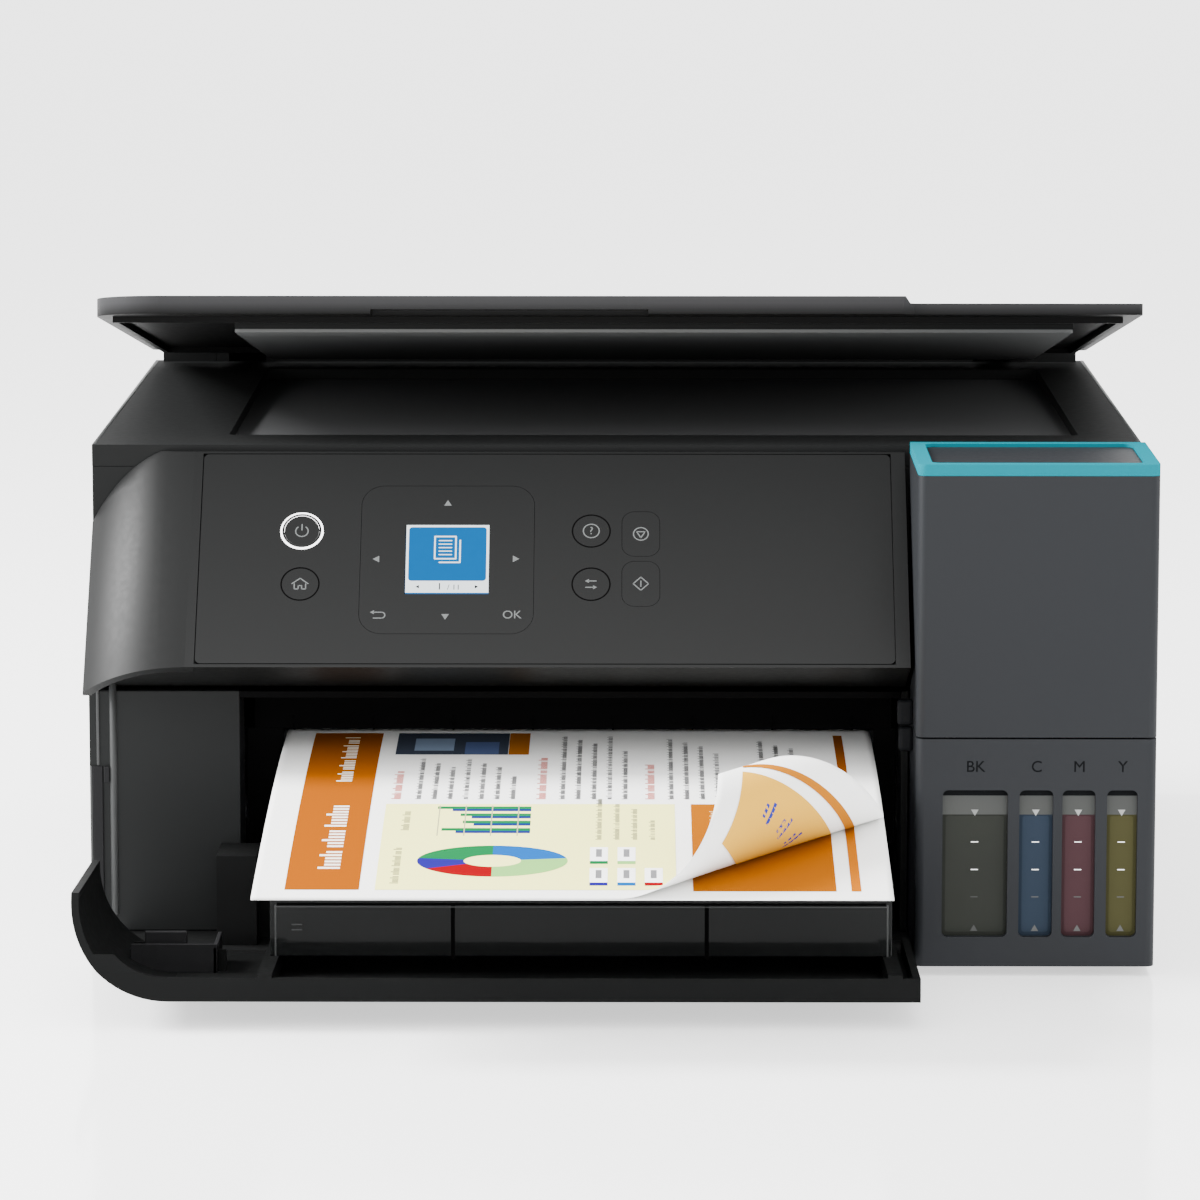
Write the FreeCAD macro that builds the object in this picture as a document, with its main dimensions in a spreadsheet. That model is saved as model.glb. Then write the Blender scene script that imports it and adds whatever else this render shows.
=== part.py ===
"""Ink-tank all-in-one printer, built as separate pieces in one shared frame.

The frame has X to the right, Y to the rear and Z up, in millimetres. Its origin lies on the floor under the
middle of the whole object, with the printed sheet coming out at the front and the scanner lid ajar.
"""

import FreeCAD, Part
import math
import os
import re

# Driving dimensions, in millimetres and degrees
SIZES = {
    # Whole body
    "body_width": 375.0, "body_depth": 347.0, "sheet_reach": 110.0, "wall": 2.5, "seam": 0.6, "slip": 0.5,
    "rest_gap": 0.05, "pin_play": 0.05, "cut_over": 1.0,
    "foot_height": 3.0, "foot_radius": 9.0, "foot_inset": 26.0,
    # Base case
    "base_floor": 3.0, "base_height": 134.5, "column_setback": 46.0, "column_height": 93.0,
    "column_gap": 15.0, "rear_relief": 8.0, "rear_drop": 4.0, "rear_proud": 2.0,
    "block_width": 14.0, "block_reach": 24.0, "block_height": 32.0, "step_height": 16.0,
    "screw_boss_radius": 5.0, "screw_boss_height": 14.0, "screw_head_radius": 3.2, "screw_head_height": 2.4,
    "screw_radius": 1.5, "screw_length": 9.0, "screw_inset": 53.0,
    "screw_fore": 95.0, "screw_aft": 46.0,
    "rear_cover_width": 230.0, "rear_cover_low": 42.0, "rear_cover_high": 112.0, "rear_lip": 4.0,
    "inlet_width": 26.0, "inlet_tall": 18.0, "inlet_depth": 22.0, "inlet_gap": 2.0, "inlet_z": 30.0,
    "data_width": 14.0, "data_tall": 13.0, "data_depth": 18.0,
    # Control panel, in its own frame on the slanted face
    "panel_slope": 50.0, "panel_length": 90.0, "panel_setback": 9.5, "panel_low": 107.5, "panel_gap": 1.7,
    "panel_tail_y": 50.0, "panel_tail_z": 94.0, "panel_top_z": 175.8,
    "panel_corner": 47.0, "bend_flat": 0.307, "bend_steep": 0.383, "bend_ease": 0.52,
    "wing_width": 40.0, "wing_rise": 14.0,
    "panel_shell": 3.2, "fascia_left": 147.0, "fascia_low": 1.6,
    "fascia_thick": 1.6, "fascia_inset": 1.9, "fascia_line": 0.35,
    "nav_x": 59.8, "nav_v": 44.2, "nav_size": 61.0, "nav_corner": 8.0,
    "screen_width": 29.0, "screen_tall": 28.0,
    "left_keys_x": 111.3, "upper_keys_v": 56.0, "lower_keys_v": 34.0, "power_radius": 6.1,
    "ring_radius": 7.6, "round_key_radius": 6.4, "help_x": 9.1, "long_key_x": 8.4, "long_key_width": 13.2,
    "long_key_tall": 18.4, "stop_v": 54.8, "start_v": 34.2, "key_thick": 1.8, "key_gap": 0.15,
    "key_stem": 2.6, "board_thick": 1.6, "board_gap": 4.5, "board_width": 180.0, "board_low": 12.0,
    "board_tall": 62.0,
    # Front cover and output tray, in the cover's own frame
    "cover_axis_y": 10.0, "cover_axis_z": 6.6, "cover_tilt": 3.0, "cover_reach": 94.0, "cover_start": 6.5,
    "cover_plate": 2.6, "cover_under": 2.0, "cover_lip": 8.0, "cover_lip_thick": 2.6, "cover_inset": 4.5,
    "cover_gap": 2.0, "cover_curve": 33.0, "cover_rise": 33.0, "cover_pin_radius": 2.0,
    "cover_ear": 5.0, "cover_ear_radius": 4.2, "cover_ear_inset": 11.5, "knuckle_radius": 3.4,
    "knuckle_width": 8.0, "wrap_slant": 12.0,
    "rail_width": 5.0, "rail_height": 6.6, "rib_thick": 1.6, "rib_height": 5.5,
    "tray_over": 3.0, "tray_front": 55.5, "tray_back": 6.0, "tray_tall": 19.4, "tray_wall": 1.8,
    # Paper cassette, edge guides and sheet
    "path_margin": 9.9, "cassette_front": 44.0, "cassette_back": 330.0, "runner_width": 4.0,
    "runner_inset": 6.0,
    "cassette_low": 11.6, "cassette_tall": 19.5, "cassette_wall": 2.0, "guide_thick": 2.0,
    "guide_long": 120.0,
    "guide_start": 110.0, "guide_tall": 16.0, "rack_width": 6.0, "rack_thick": 2.0, "rack_long": 88.0,
    "guide_pinion_radius": 6.0, "guide_margin": 8.0,
    "sheet_width": 210.0, "sheet_thick": 0.25, "sheet_level": 72.0, "sheet_exit": 80.0,
    "sheet_tail": 187.0, "sheet_drop": 22.0,
    # Scanner unit and lid
    "scanner_setback": 69.5, "scanner_tall": 43.5, "frame_deep": 7.7, "frame_plate": 4.0,
    "glass_width": 312.0, "glass_depth": 218.0, "glass_x": 13.0, "glass_back": 31.0, "glass_thick": 2.8,
    "glass_ledge": 2.5, "rod_radius": 3.0, "rod_y": 205.0, "rod_rise": 15.5, "bar_width": 24.0,
    "bar_tall": 18.0,
    "bar_long": 224.0, "lift_axis_inset": 7.0, "lift_rise": 5.1, "lift_pin_radius": 2.0,
    "lift_ear": 8.0, "lift_ear_radius": 4.4, "lift_x": 104.0, "lift_block": 32.0, "lift_notch": 6.2,
    "lid_axis_inset": 5.0, "lid_axis_rise": 3.6, "lid_angle": 9.0, "lid_reach": 272.0, "lid_thick": 6.4,
    "lid_tail": 8.0, "lid_step": 2.4, "lid_step_back": 4.0, "lid_corner": 24.0,
    "lid_skirt": 2.2, "lid_skirt_thick": 2.0, "lid_skirt_inset": 6.0, "lid_floor": 0.4, "mat_thick": 5.0,
    "mat_margin": 2.0, "grip_width": 88.0, "grip_depth": 9.0,
    "grip_cut": 1.6, "hinge_x": 150.0, "hinge_width": 14.0, "hinge_radius": 3.0, "hinge_pin_radius": 1.5,
    "hinge_arm": 26.0, "hinge_plate": 1.5, "lug_width": 5.0,
    # Ink tank unit
    "tank_width": 83.5, "tank_depth": 66.0, "tank_cover_depth": 63.0, "tank_split": 84.0,
    "tank_height": 180.0, "tank_round": 3.0,
    "tank_floor_gap": 0.05, "tank_deck": 2.5, "apron_inset": 4.0, "window_low": 14.0, "window_high": 66.0,
    "black_low": 9.3, "black_high": 32.0, "cyan_low": 36.0, "cyan_high": 47.7, "magenta_low": 50.9,
    "magenta_high": 62.4, "yellow_low": 66.4, "yellow_high": 77.0, "window_corner": 2.0,
    "bottle_wall": 1.2, "bottle_over": 0.8, "bottle_back": 53.5, "bottle_high": 79.0, "ink_level": 57.0,
    "neck_radius": 4.2, "neck_bore": 2.8, "neck_tall": 9.0, "neck_y": 30.0, "cap_radius": 5.4,
    "cap_roof": 2.0, "tank_axis_y": 57.5, "tank_axis_z": 170.0, "tank_pin_radius": 2.5,
    "tank_frame_thick": 4.0, "tank_ear": 4.0, "tank_boss": 5.6, "tank_ear_radius": 4.0, "tank_roof": 1.5,
    "trim_low": 176.0,
    "trim_inset": 5.0, "trim_sink": 1.2, "tube_slot": 10.0, "tube_radius": 1.6, "tube_pitch": 4.6,
    "tube_bend": 9.0,
    "tube_level": 96.0, "tube_riser": 103.0, "tube_turn": 20.0, "tube_port_z": 13.5, "tube_back": 20.0,
    # Print engine
    "plate_metal": 2.0, "chassis_side": 31.0, "chassis_gap": 12.0, "chassis_far": 7.5,
    "chassis_front": 84.0, "scanner_clear": 1.4, "rail_y": 236.0, "rail_low": 94.0,
    "rail_flange": 10.0, "mid_top": 92.0, "pickup_y": 300.0, "pickup_z": 46.5,
    "pickup_radius": 11.0, "pickup_width": 24.0,
    "carriage_width": 74.0, "carriage_front": 140.0, "carriage_low": 76.5, "carriage_gap": 2.0,
    "arm_width": 20.0, "arm_thick": 2.6, "head_low": 73.6, "head_width": 44.0, "head_front": 150.0,
    "head_back": 204.0, "pulley_radius": 6.0, "belt_thick": 1.2, "belt_width": 5.5, "belt_drop": 18.0,
    "pulley_inset": 14.0, "axle_radius": 1.5, "motor_radius": 13.0, "motor_long": 34.0,
    "platen_front": 104.0, "platen_back": 192.0, "platen_top": 71.0, "platen_thick": 9.0,
    "feed_y": 206.0, "feed_z": 64.6, "feed_radius": 7.0, "eject_y": 94.0, "eject_z": 65.6,
    "eject_radius": 6.0,
    "shaft_radius": 3.0, "feed_pulley_radius": 10.0, "feed_pulley_gap": 3.0, "feed_belt_width": 6.0,
    "feed_motor_y": 150.0, "feed_motor_z": 30.0,
    "cap_station_front": 146.0,
    "cap_station_high": 68.0, "cap_lip": 3.6, "waste_front": 112.0, "waste_back": 198.0,
    "waste_high": 40.0, "board_x": 16.0, "board_front": 256.0, "board_z": 44.0, "board_long": 76.0,
    "supply_front": 224.0, "supply_back": 336.0, "supply_high": 108.0,
}

# Positions that follow from the dimensions
PLACES = {
    "chassis_top": "base_height - scanner_clear - arm_thick - slip",
    "rim_height": "base_height + scanner_tall",
    "lift_axis_z": "base_height + seam + lift_rise", "lid_axis_z": "rim_height + lid_axis_rise",
    "rod_z": "base_height + rod_rise", "belt_z": "chassis_top - belt_drop",
    "bend_run": "panel_corner * bend_flat", "bend_drop": "panel_corner * bend_steep",
    "left": "-body_width / 2", "right": "body_width / 2",
    "inlet_x": "inlet_gap + inlet_width / 2 + chassis_x_left", "data_x": "chassis_x_mid + 2 * board_x",
    "front": "(sheet_reach - body_depth) / 2", "rear": "front + body_depth",
    "mid_step": "head_low - slip",
    "rear_split": "lift_y - lift_ear_radius - slip",
    "floor_top": "foot_height + base_floor", "case_back": "rear - rear_proud",
    "column_face": "front + column_setback", "scanner_front": "front + scanner_setback",
    "opening_left": "sheet_left - column_gap", "tank_left": "right - tank_width",
    "bay_left": "tank_left - seam", "bay_back": "front + tank_depth + seam",
    "scanner_low": "base_height + seam", "frame_low": "rim_height - frame_deep",
    "lift_y": "case_back - lift_axis_inset", "lid_y": "rear - lid_axis_inset",
    "glass_rear": "case_back - glass_back", "glass_front": "glass_rear - glass_depth",
    "glass_left": "glass_x - glass_width / 2", "glass_right": "glass_x + glass_width / 2",
    "path_right": "bay_left - wall - path_margin", "sheet_left": "path_right - sheet_width",
    "panel_end": "tank_left - panel_gap", "cover_end": "tank_left - cover_gap",
    "cover_start_x": "left + cover_inset",
    "tray_x_low": "cassette_x_low - slip - tray_over", "tray_x_high": "cassette_x_high + slip + tray_over",
    "cassette_x_low": "sheet_left + 9 * slip", "cassette_x_high": "path_right - slip",
    "cassette_mid": "(cassette_x_low + cassette_x_high) / 2",
    "rail_top": "cover_plate - cover_under + rail_height",
    "chassis_x_left": "sheet_left - chassis_side", "chassis_x_mid": "path_right + chassis_gap",
    "chassis_x_right": "right - chassis_far", "ear_left": "left + cover_ear_inset",
    "ear_right": "cover_end - cover_ear", "rail_back": "front + rail_y + plate_metal",
    "carriage_high": "chassis_x_right - carriage_gap", "carriage_x": "carriage_high - carriage_width / 2",
    "pulley_x_high": "chassis_x_right - pulley_inset", "pulley_x_low": "chassis_x_left + pulley_inset",
    "belt_front": "rail_back + slip + axle_radius", "belt_back": "belt_front + belt_width",
    "feed_pulley_low": "chassis_x_left - plate_metal - feed_pulley_gap - feed_belt_width",
    "feed_pulley_high": "chassis_x_left - plate_metal - feed_pulley_gap",
    "supply_low": "left + wall + slip", "lid_edge": "tank_left - cover_gap",
    "lid_rise": "lid_floor + lid_thick",
    "panel_y": "front + panel_setback", "panel_rear": "scanner_front - seam",
    "panel_chin": "(panel_low - panel_tail_z) / (panel_tail_y - panel_setback)",
    "panel_bottom": "-panel_shell - board_gap", "key_under": "-panel_shell - key_gap",
    "cover_hinge_y": "front + cover_axis_y", "tank_hinge_y": "front + tank_axis_y",
    "deck_low": "floor_top + tank_floor_gap", "deck_top": "deck_low + tank_deck",
    "bottle_low": "deck_top + rest_gap",
}

doc = FreeCAD.newDocument("ink_tank_printer")
sheet = doc.addObject("Spreadsheet::Sheet", "Dimensions")
for row, (alias, size) in enumerate(SIZES.items(), start=1):
    sheet.set(f"A{row}", alias)
    sheet.set(f"B{row}", str(size))
    sheet.setAlias(f"B{row}", alias)
doc.recompute()

AXES = {"X": FreeCAD.Vector(1, 0, 0), "Y": FreeCAD.Vector(0, 1, 0), "Z": FreeCAD.Vector(0, 0, 1)}
PLANES = {"Z": "XY_Plane", "Y": "XZ_Plane", "X": "YZ_Plane"}
subparts = []


def formula(text):
    """Write a formula of size and place names the way the dimension table needs it."""

    def known(match):
        word = match.group(0)
        if word in PLACES:
            return f"({formula(PLACES[word])})"
        return f"Dimensions.{word}" if word in SIZES else word

    return re.sub(r"[a-z][a-z_]*", known, str(text))


def number(text):
    """Work out a formula from the sizes as they stand."""
    return float(sheet.evalExpression(formula(text)))


def bind(item, **formulas):
    """Tie properties of an object to formulas."""
    for path, text in formulas.items():
        item.setExpression(path.replace("__", "."), formula(text))


def box(name, x, y, z):
    """Make a block from three (low, high) pairs of formulas."""
    item = doc.addObject("Part::Box", name)
    bind(item, Length=f"({x[1]}) - ({x[0]})", Width=f"({y[1]}) - ({y[0]})", Height=f"({z[1]}) - ({z[0]})")
    bind(item, Placement__Base__x=x[0], Placement__Base__y=y[0], Placement__Base__z=z[0])
    return item


def rod(name, axis, start, stop, across, radius):
    """Make a cylinder along an axis; across holds the other two coordinates in X, Y, Z order."""
    item = doc.addObject("Part::Cylinder", name)
    item.Placement = FreeCAD.Placement(FreeCAD.Vector(), FreeCAD.Rotation(AXES["Z"], AXES[axis]))
    bind(item, Radius=radius, Height=f"({stop}) - ({start})")
    first, second = across
    spot = {"X": (start, first, second), "Y": (first, start, second), "Z": (first, second, start)}[axis]
    bind(item, Placement__Base__x=spot[0], Placement__Base__y=spot[1], Placement__Base__z=spot[2])
    return item


def fuse(name, *items):
    """Join pieces into one."""
    item = doc.addObject("Part::MultiFuse", name)
    item.Shapes = list(items)
    item.Refine = True
    return item


def cut(name, base, *tools):
    """Take tools out of a base."""
    item = doc.addObject("Part::Cut", name)
    item.Base = base
    item.Tool = tools[0] if len(tools) == 1 else fuse(f"{name}_tools", *tools)
    item.Refine = True
    return item


def group(name, *items):
    """Keep separate solids together as one piece of the list."""
    item = doc.addObject("Part::Compound", name)
    item.Links = list(items)
    return item


def add_loop(sketch, points):
    """Draw one closed outline, either ("circle", x, y, radius) or a list of (x, y) corners."""
    import Sketcher

    if points[0] == "circle":
        centre = FreeCAD.Vector(number(points[1]), number(points[2]), 0)
        index = sketch.addGeometry(Part.Circle(centre, AXES["Z"], number(points[3])), False)
        for kind, value in (("DistanceX", points[1]), ("DistanceY", points[2])):
            place = sketch.addConstraint(Sketcher.Constraint(kind, -1, 1, index, 3, number(value)))
            sketch.setExpression(f"Constraints[{place}]", formula(value))
        place = sketch.addConstraint(Sketcher.Constraint("Radius", index, number(points[3])))
        sketch.setExpression(f"Constraints[{place}]", formula(points[3]))
        return
    corners = [FreeCAD.Vector(number(point[0]), number(point[1]), 0) for point in points]
    count = len(corners)
    lines = [
        sketch.addGeometry(Part.LineSegment(corners[i], corners[(i + 1) % count]),
        False) for i in range(count)
    ]
    for i in range(count):
        sketch.addConstraint(Sketcher.Constraint("Coincident", lines[i], 2, lines[(i + 1) % count], 1))
    for line, point in zip(lines, points):
        for kind, value in (("DistanceX", point[0]), ("DistanceY", point[1])):
            place = sketch.addConstraint(Sketcher.Constraint(kind, -1, 1, line, 1, number(value)))
            sketch.setExpression(f"Constraints[{place}]", formula(value))


def prism(name, axis, low, high, *loops):
    """Pad outlines drawn across an axis; a corner given as (x, y, radius) is rounded."""
    item = doc.addObject("PartDesign::Body", name)
    sketch = item.newObject("Sketcher::SketchObject", f"{name}_outline")
    plane = next(feature for feature in item.Origin.OriginFeatures if PLANES[axis] in feature.Name)
    sketch.AttachmentSupport = [(plane, "")]
    sketch.MapMode = "FlatFace"
    bind(sketch, AttachmentOffset__Base__z=f"-({high})" if axis == "Y" else low)
    for loop in loops:
        add_loop(sketch, loop)
    pad = item.newObject("PartDesign::Pad", f"{name}_pad")
    pad.Profile = sketch
    bind(pad, Length=f"({high}) - ({low})")
    doc.recompute()
    rounds = {}
    for loop in loops:
        for point in loop if loop[0] != "circle" else []:
            if len(point) == 3:
                rounds.setdefault(point[2], []).append((number(point[0]), number(point[1])))
    for index, (radius, spots) in enumerate(rounds.items()):
        edges = [f"Edge{i}" for i, edge in enumerate(item.Shape.Edges, 1) if along(edge, axis, spots)]
        sharp = item.Tip
        fillet = item.newObject("PartDesign::Fillet", f"{name}_round{index}")
        fillet.Base = (sharp, edges)
        bind(fillet, Radius=radius)
        doc.recompute()
    return item


def along(edge, axis, spots):
    """Tell whether an edge runs along an axis at one of the given spots of the outline."""
    if len(edge.Vertexes) != 2:
        return False
    first, second = (vertex.Point for vertex in edge.Vertexes)
    if abs(abs((second - first).normalize().dot(AXES[axis])) - 1.0) > 1e-6:
        return False
    flat = {"X": (first.y, first.z), "Y": (first.x, first.z), "Z": (first.x, first.y)}[axis]
    return any(math.dist(flat, spot) < 1e-4 for spot in spots)


def common(name, *items):
    """Keep only what all the given solids share."""
    item = doc.addObject("Part::MultiCommon", name)
    item.Shapes = list(items)
    return item


def rounded(x, y, radius):
    """Give the four rounded corners of a rectangle from two (low, high) pairs."""
    return [(x[0], y[0], radius), (x[1], y[0], radius), (x[1], y[1], radius), (x[0], y[1], radius)]


def rectangle(x, y):
    """Give the four corners of a rectangle from two (low, high) pairs."""
    return [(x[0], y[0]), (x[1], y[0]), (x[1], y[1]), (x[0], y[1])]


def seat(item, y, z, turn, side):
    """Put a piece that was built in its own frame in its place, turned about X towards a side."""
    if item.TypeId in ("Part::Box", "Part::Cylinder"):
        item = group(f"{item.Name}_seated", item)
    item.Placement = FreeCAD.Placement(FreeCAD.Vector(), FreeCAD.Rotation(AXES["X"] * side, number(turn)))
    bind(item, Placement__Rotation__Angle=turn, Placement__Base__y=y, Placement__Base__z=z)
    return item


def keep(name, item):
    """Name a finished piece and put it on the list of sub-parts."""
    item.Label = name
    subparts.append(item)
    return item


def onto_panel(item):
    """Place a piece that was drawn on the panel's slanted face."""
    return seat(item, "panel_y", "panel_low", "panel_slope", 1)


def onto_cover(item):
    """Place a piece that was drawn in the open front cover's frame."""
    return seat(item, "cover_hinge_y", "cover_axis_z", "cover_tilt", -1)


def onto_lid(item):
    """Place a piece that was drawn in the scanner lid's frame."""
    return seat(item, "lid_y", "lid_axis_z", "lid_angle", -1)


def over(text):
    """Reach a little past a face so that a cut leaves no skin."""
    return f"{text} + cut_over"


def under(text):
    """Start a little before a face so that a cut leaves no skin."""
    return f"{text} - cut_over"


# Base case
tub = box("tub", ("left", "right"), ("column_face", "case_back"), ("foot_height", "base_height"))
tub_room = box(
    "tub_room", ("left + wall", "right - wall"), ("scanner_front + wall", "case_back - wall"),
    ("floor_top", over("base_height")),
)
panel_room = box(
    "panel_room", (under("left"), over("right")), (under("column_face"), "scanner_front"),
    ("column_height", over("base_height")),
)
bay_room = box(
    "bay_room", ("bay_left", over("right")), (under("column_face"), "bay_back"),
    (under("foot_height"), over("base_height")),
)
paper_room = box(
    "paper_room", ("opening_left", "bay_left - wall"), (under("column_face"), "scanner_front + 2 * wall"),
    ("floor_top", "column_height - wall"),
)
column_room = box(
    "column_room", ("left + wall", "opening_left - wall"),
    ("column_face + wall", "scanner_front + 2 * wall"),
    ("floor_top", "column_height - wall"),
)
tube_room = box(
    "tube_room", ("tank_left + black_low", "right - 2 * wall"),
    (under("bay_back"), "scanner_front + 2 * wall"),
    ("floor_top", "floor_top + step_height"),
)
rear_top_room = box(
    "rear_top_room", (under("left"), over("right")), ("case_back - rear_relief", over("case_back")),
    ("base_height - rear_drop", over("base_height")),
)
rear_hole = box(
    "rear_hole", ("-rear_cover_width / 2 + rear_lip", "rear_cover_width / 2 - rear_lip"),
    ("case_back - 2 * wall", over("case_back")),
    ("rear_cover_low + rear_lip", "rear_cover_high - rear_lip"),
)
inlet_hole = box(
    "inlet_hole", ("inlet_x - inlet_width / 2", "inlet_x + inlet_width / 2"),
    ("case_back - 2 * wall", over("case_back")), ("inlet_z - inlet_tall / 2", "inlet_z + inlet_tall / 2"),
)
data_hole = box(
    "data_hole", ("data_x - data_width / 2", "data_x + data_width / 2"),
    ("case_back - 2 * wall", over("case_back")), ("inlet_z - data_tall / 2", "inlet_z + data_tall / 2"),
)
floor_room = box(
    "floor_room", (under("left"), over("right")), (under("column_face"), over("case_back")),
    (under("foot_height"), "floor_top + rest_gap"),
)
shell = cut(
    "shell", tub, tub_room, panel_room, bay_room, paper_room, column_room, tube_room, rear_top_room,
    rear_hole, inlet_hole, data_hole, floor_room,
)
floor_slab = cut(
    "floor_slab", box("floor_blank", ("left", "right"), ("column_face", "case_back"),
                      ("foot_height", "floor_top")),
    box("floor_bay", ("bay_left", over("right")), (under("column_face"), "bay_back"),
        (under("foot_height"), over("floor_top"))),
)
front_apron = box(
    "front_apron", ("ear_left", "bay_left - wall"),
    ("cover_hinge_y + cover_ear_radius", over("column_face")),
    ("foot_height", "floor_top"),
)
tank_apron = box(
    "tank_apron", (under("bay_left - wall"), "right - apron_inset"),
    ("front + apron_inset", over("bay_back")),
    ("foot_height", "floor_top"),
)
guide_block = box(
    "guide_block", ("opening_left - block_width / 2", "opening_left + block_width / 2"),
    ("column_face - block_reach", "column_face - rest_gap"),
    (under("floor_top"), "floor_top + block_height"),
)
guide_step = box(
    "guide_step", ("opening_left", "opening_left + block_width"),
    ("column_face - block_reach / 2", "column_face - rest_gap"),
    (under("floor_top"), "floor_top + step_height"),
)
runners = [
    box(f"runner_{side}", (start, f"{start} + runner_width"), ("column_face", "front + cassette_back"),
        (under("floor_top"), "cassette_low - rest_gap"))
    for side, start in (
        ("left", "cassette_x_low + runner_inset"),
        ("right", "cassette_x_high - runner_inset - runner_width"),
    )
]
base_items = [floor_slab, front_apron, tank_apron, guide_block, guide_step, *runners]
wall_items = [shell]
for side, start in (("left", "ear_left"), ("right", "ear_right")):
    arm = box(
        f"cover_arm_{side}", (start, f"{start} + cover_ear"),
        ("cover_hinge_y", "cover_hinge_y + 3 * cover_ear_radius"),
        ("foot_height", "cover_axis_z + cover_ear_radius"),
    )
    nose = rod(
        f"cover_nose_{side}", "X", start, f"{start} + cover_ear", ("cover_hinge_y", "cover_axis_z"),
        "cover_axis_z - foot_height",
    )
    base_items += [arm, nose]
panel_pad = box(
    "panel_pad", ("left", "panel_end"), ("panel_rear + rest_gap", over("scanner_front")),
    ("column_height - wall", "base_height - wall"),
)
wall_items.append(panel_pad)
for side, sign in (("left", "-1"), ("right", "1")):
    middle = f"{sign} * lift_x"
    ear = box(
        f"lift_ear_{side}", (f"{middle} - lift_ear / 2", f"{middle} + lift_ear / 2"),
        ("lift_y - lift_ear_radius", "lift_y + lift_ear_radius"),
        ("base_height - rear_relief - wall", "lift_axis_z"),
    )
    crown = rod(
        f"lift_crown_{side}", "X", f"{middle} - lift_ear / 2", f"{middle} + lift_ear / 2",
        ("lift_y", "lift_axis_z"), "lift_ear_radius",
    )
    root = box(
        f"lift_root_{side}", (f"{middle} - lift_ear / 2", f"{middle} + lift_ear / 2"),
        ("lift_y", "case_back - wall / 2"),
        ("base_height - rear_relief - wall", "base_height - rear_drop"),
    )
    wall_items += [ear, crown, root]
CORNERS = [(sx, sy) for sx in ("-1", "1") for sy in ("0", "1")]


def corner(inset, fore, aft, sx, sy):
    """Give the X and Y of a corner of the underside, a distance in from the body's edges."""
    return f"{sx} * (body_width / 2 - {inset})", f"case_back - {aft}" if sy == "1" else f"front + {fore}"


holes = []
for index, (sx, sy) in enumerate(CORNERS):
    spot = corner("screw_inset", "screw_fore", "screw_aft", sx, sy)
    base_items.append(
        rod(f"boss{index}", "Z", "foot_height", "foot_height + screw_boss_height", spot,
        "screw_boss_radius")
    )
    holes.append(
        rod(f"screw_sink{index}", "Z", under("foot_height"), "foot_height + screw_head_height + slip", spot,
            "screw_head_radius + slip")
    )
    holes.append(
        rod(f"screw_hole{index}", "Z", "foot_height",
        "foot_height + screw_head_height + screw_length + slip",
            spot, "screw_radius + rest_gap / 2")
    )
holes.append(
    rod("cover_bore", "X", "-body_width / 2", "bay_left", ("cover_hinge_y", "cover_axis_z"),
        "cover_pin_radius + pin_play")
)
base_case = keep("base_case", cut("base_case", fuse("base_solid", *base_items), *holes))
lift_bore = rod("lift_bore", "X", "-body_width / 2", "body_width / 2", ("lift_y", "lift_axis_z"),
                "lift_pin_radius + pin_play")
walls = cut("case_walls", fuse("wall_solid", *wall_items), lift_bore)
fore_y = (under("column_face"), "rear_split - rest_gap")
CASE_WALLS = {
    "case_left": ((under("left"), "opening_left"), fore_y),
    "case_header": (("opening_left + rest_gap", "bay_left - wall - rest_gap"), fore_y),
    "case_right": (("bay_left - wall", over("right")), fore_y),
    "case_rear": ((under("left"), over("right")), ("rear_split", over("case_back"))),
}
for name, (x_span, y_span) in CASE_WALLS.items():
    room = box(f"{name}_room", x_span, y_span, ("floor_top", "2 * base_height"))
    keep(name, common(name, walls, room))

# Feet and casing screws
feet = [
    rod(f"foot{index}", "Z", "0", "foot_height", corner("foot_inset", "foot_inset", "foot_inset", sx, sy),
    "foot_radius")
    for index, (sx, sy) in enumerate(CORNERS)
]
keep("rubber_feet", group("rubber_feet", *feet))
screws = []
for index, (sx, sy) in enumerate(CORNERS):
    spot = corner("screw_inset", "screw_fore", "screw_aft", sx, sy)
    head = rod(
        f"screw_head{index}", "Z", "foot_height + slip", "foot_height + slip + screw_head_height", spot,
        "screw_head_radius",
    )
    shank = rod(
        f"screw_shank{index}", "Z", "foot_height + slip", "foot_height + screw_head_height + screw_length",
        spot,
        "screw_radius",
    )
    slot = box(
        f"screw_slot{index}", (f"{spot[0]} - screw_radius", f"{spot[0]} + screw_radius"),
        (f"{spot[1]} - slip", f"{spot[1]} + slip"),
        ("foot_height", "foot_height + slip + screw_head_height / 2"),
    )
    screws.append(cut(f"screw{index}", fuse(f"screw_blank{index}", head, shank), slot))
keep("casing_screws", group("casing_screws", *screws))

# Rear cover and the sockets beside it
rear_plate = prism(
    "rear_plate", "Y", "case_back + rest_gap", "rear",
    rounded(("-rear_cover_width / 2", "rear_cover_width / 2"), ("rear_cover_low", "rear_cover_high"),
    "rear_lip"),
)
rear_plug = box(
    "rear_plug", ("-rear_cover_width / 2 + rear_lip + slip", "rear_cover_width / 2 - rear_lip - slip"),
    ("case_back - wall", over("case_back")),
    ("rear_cover_low + rear_lip + slip", "rear_cover_high - rear_lip - slip"),
)
keep("rear_cover", fuse("rear_cover", rear_plate, rear_plug))
inlet_body = box(
    "inlet_body",
    ("inlet_x - inlet_width / 2 + rest_gap", "inlet_x + inlet_width / 2 - rest_gap"),
    ("case_back - inlet_depth", "case_back"),
    ("inlet_z - inlet_tall / 2 + rest_gap", "inlet_z + inlet_tall / 2 - rest_gap"),
)
inlet_mouth = box(
    "inlet_mouth", ("inlet_x - inlet_width / 2 + 2 * wall", "inlet_x + inlet_width / 2 - 2 * wall"),
    ("case_back - inlet_depth + wall", over("case_back")),
    ("inlet_z - inlet_tall / 2 + 2 * wall", "inlet_z + inlet_tall / 2 - 2 * wall"),
)
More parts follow.
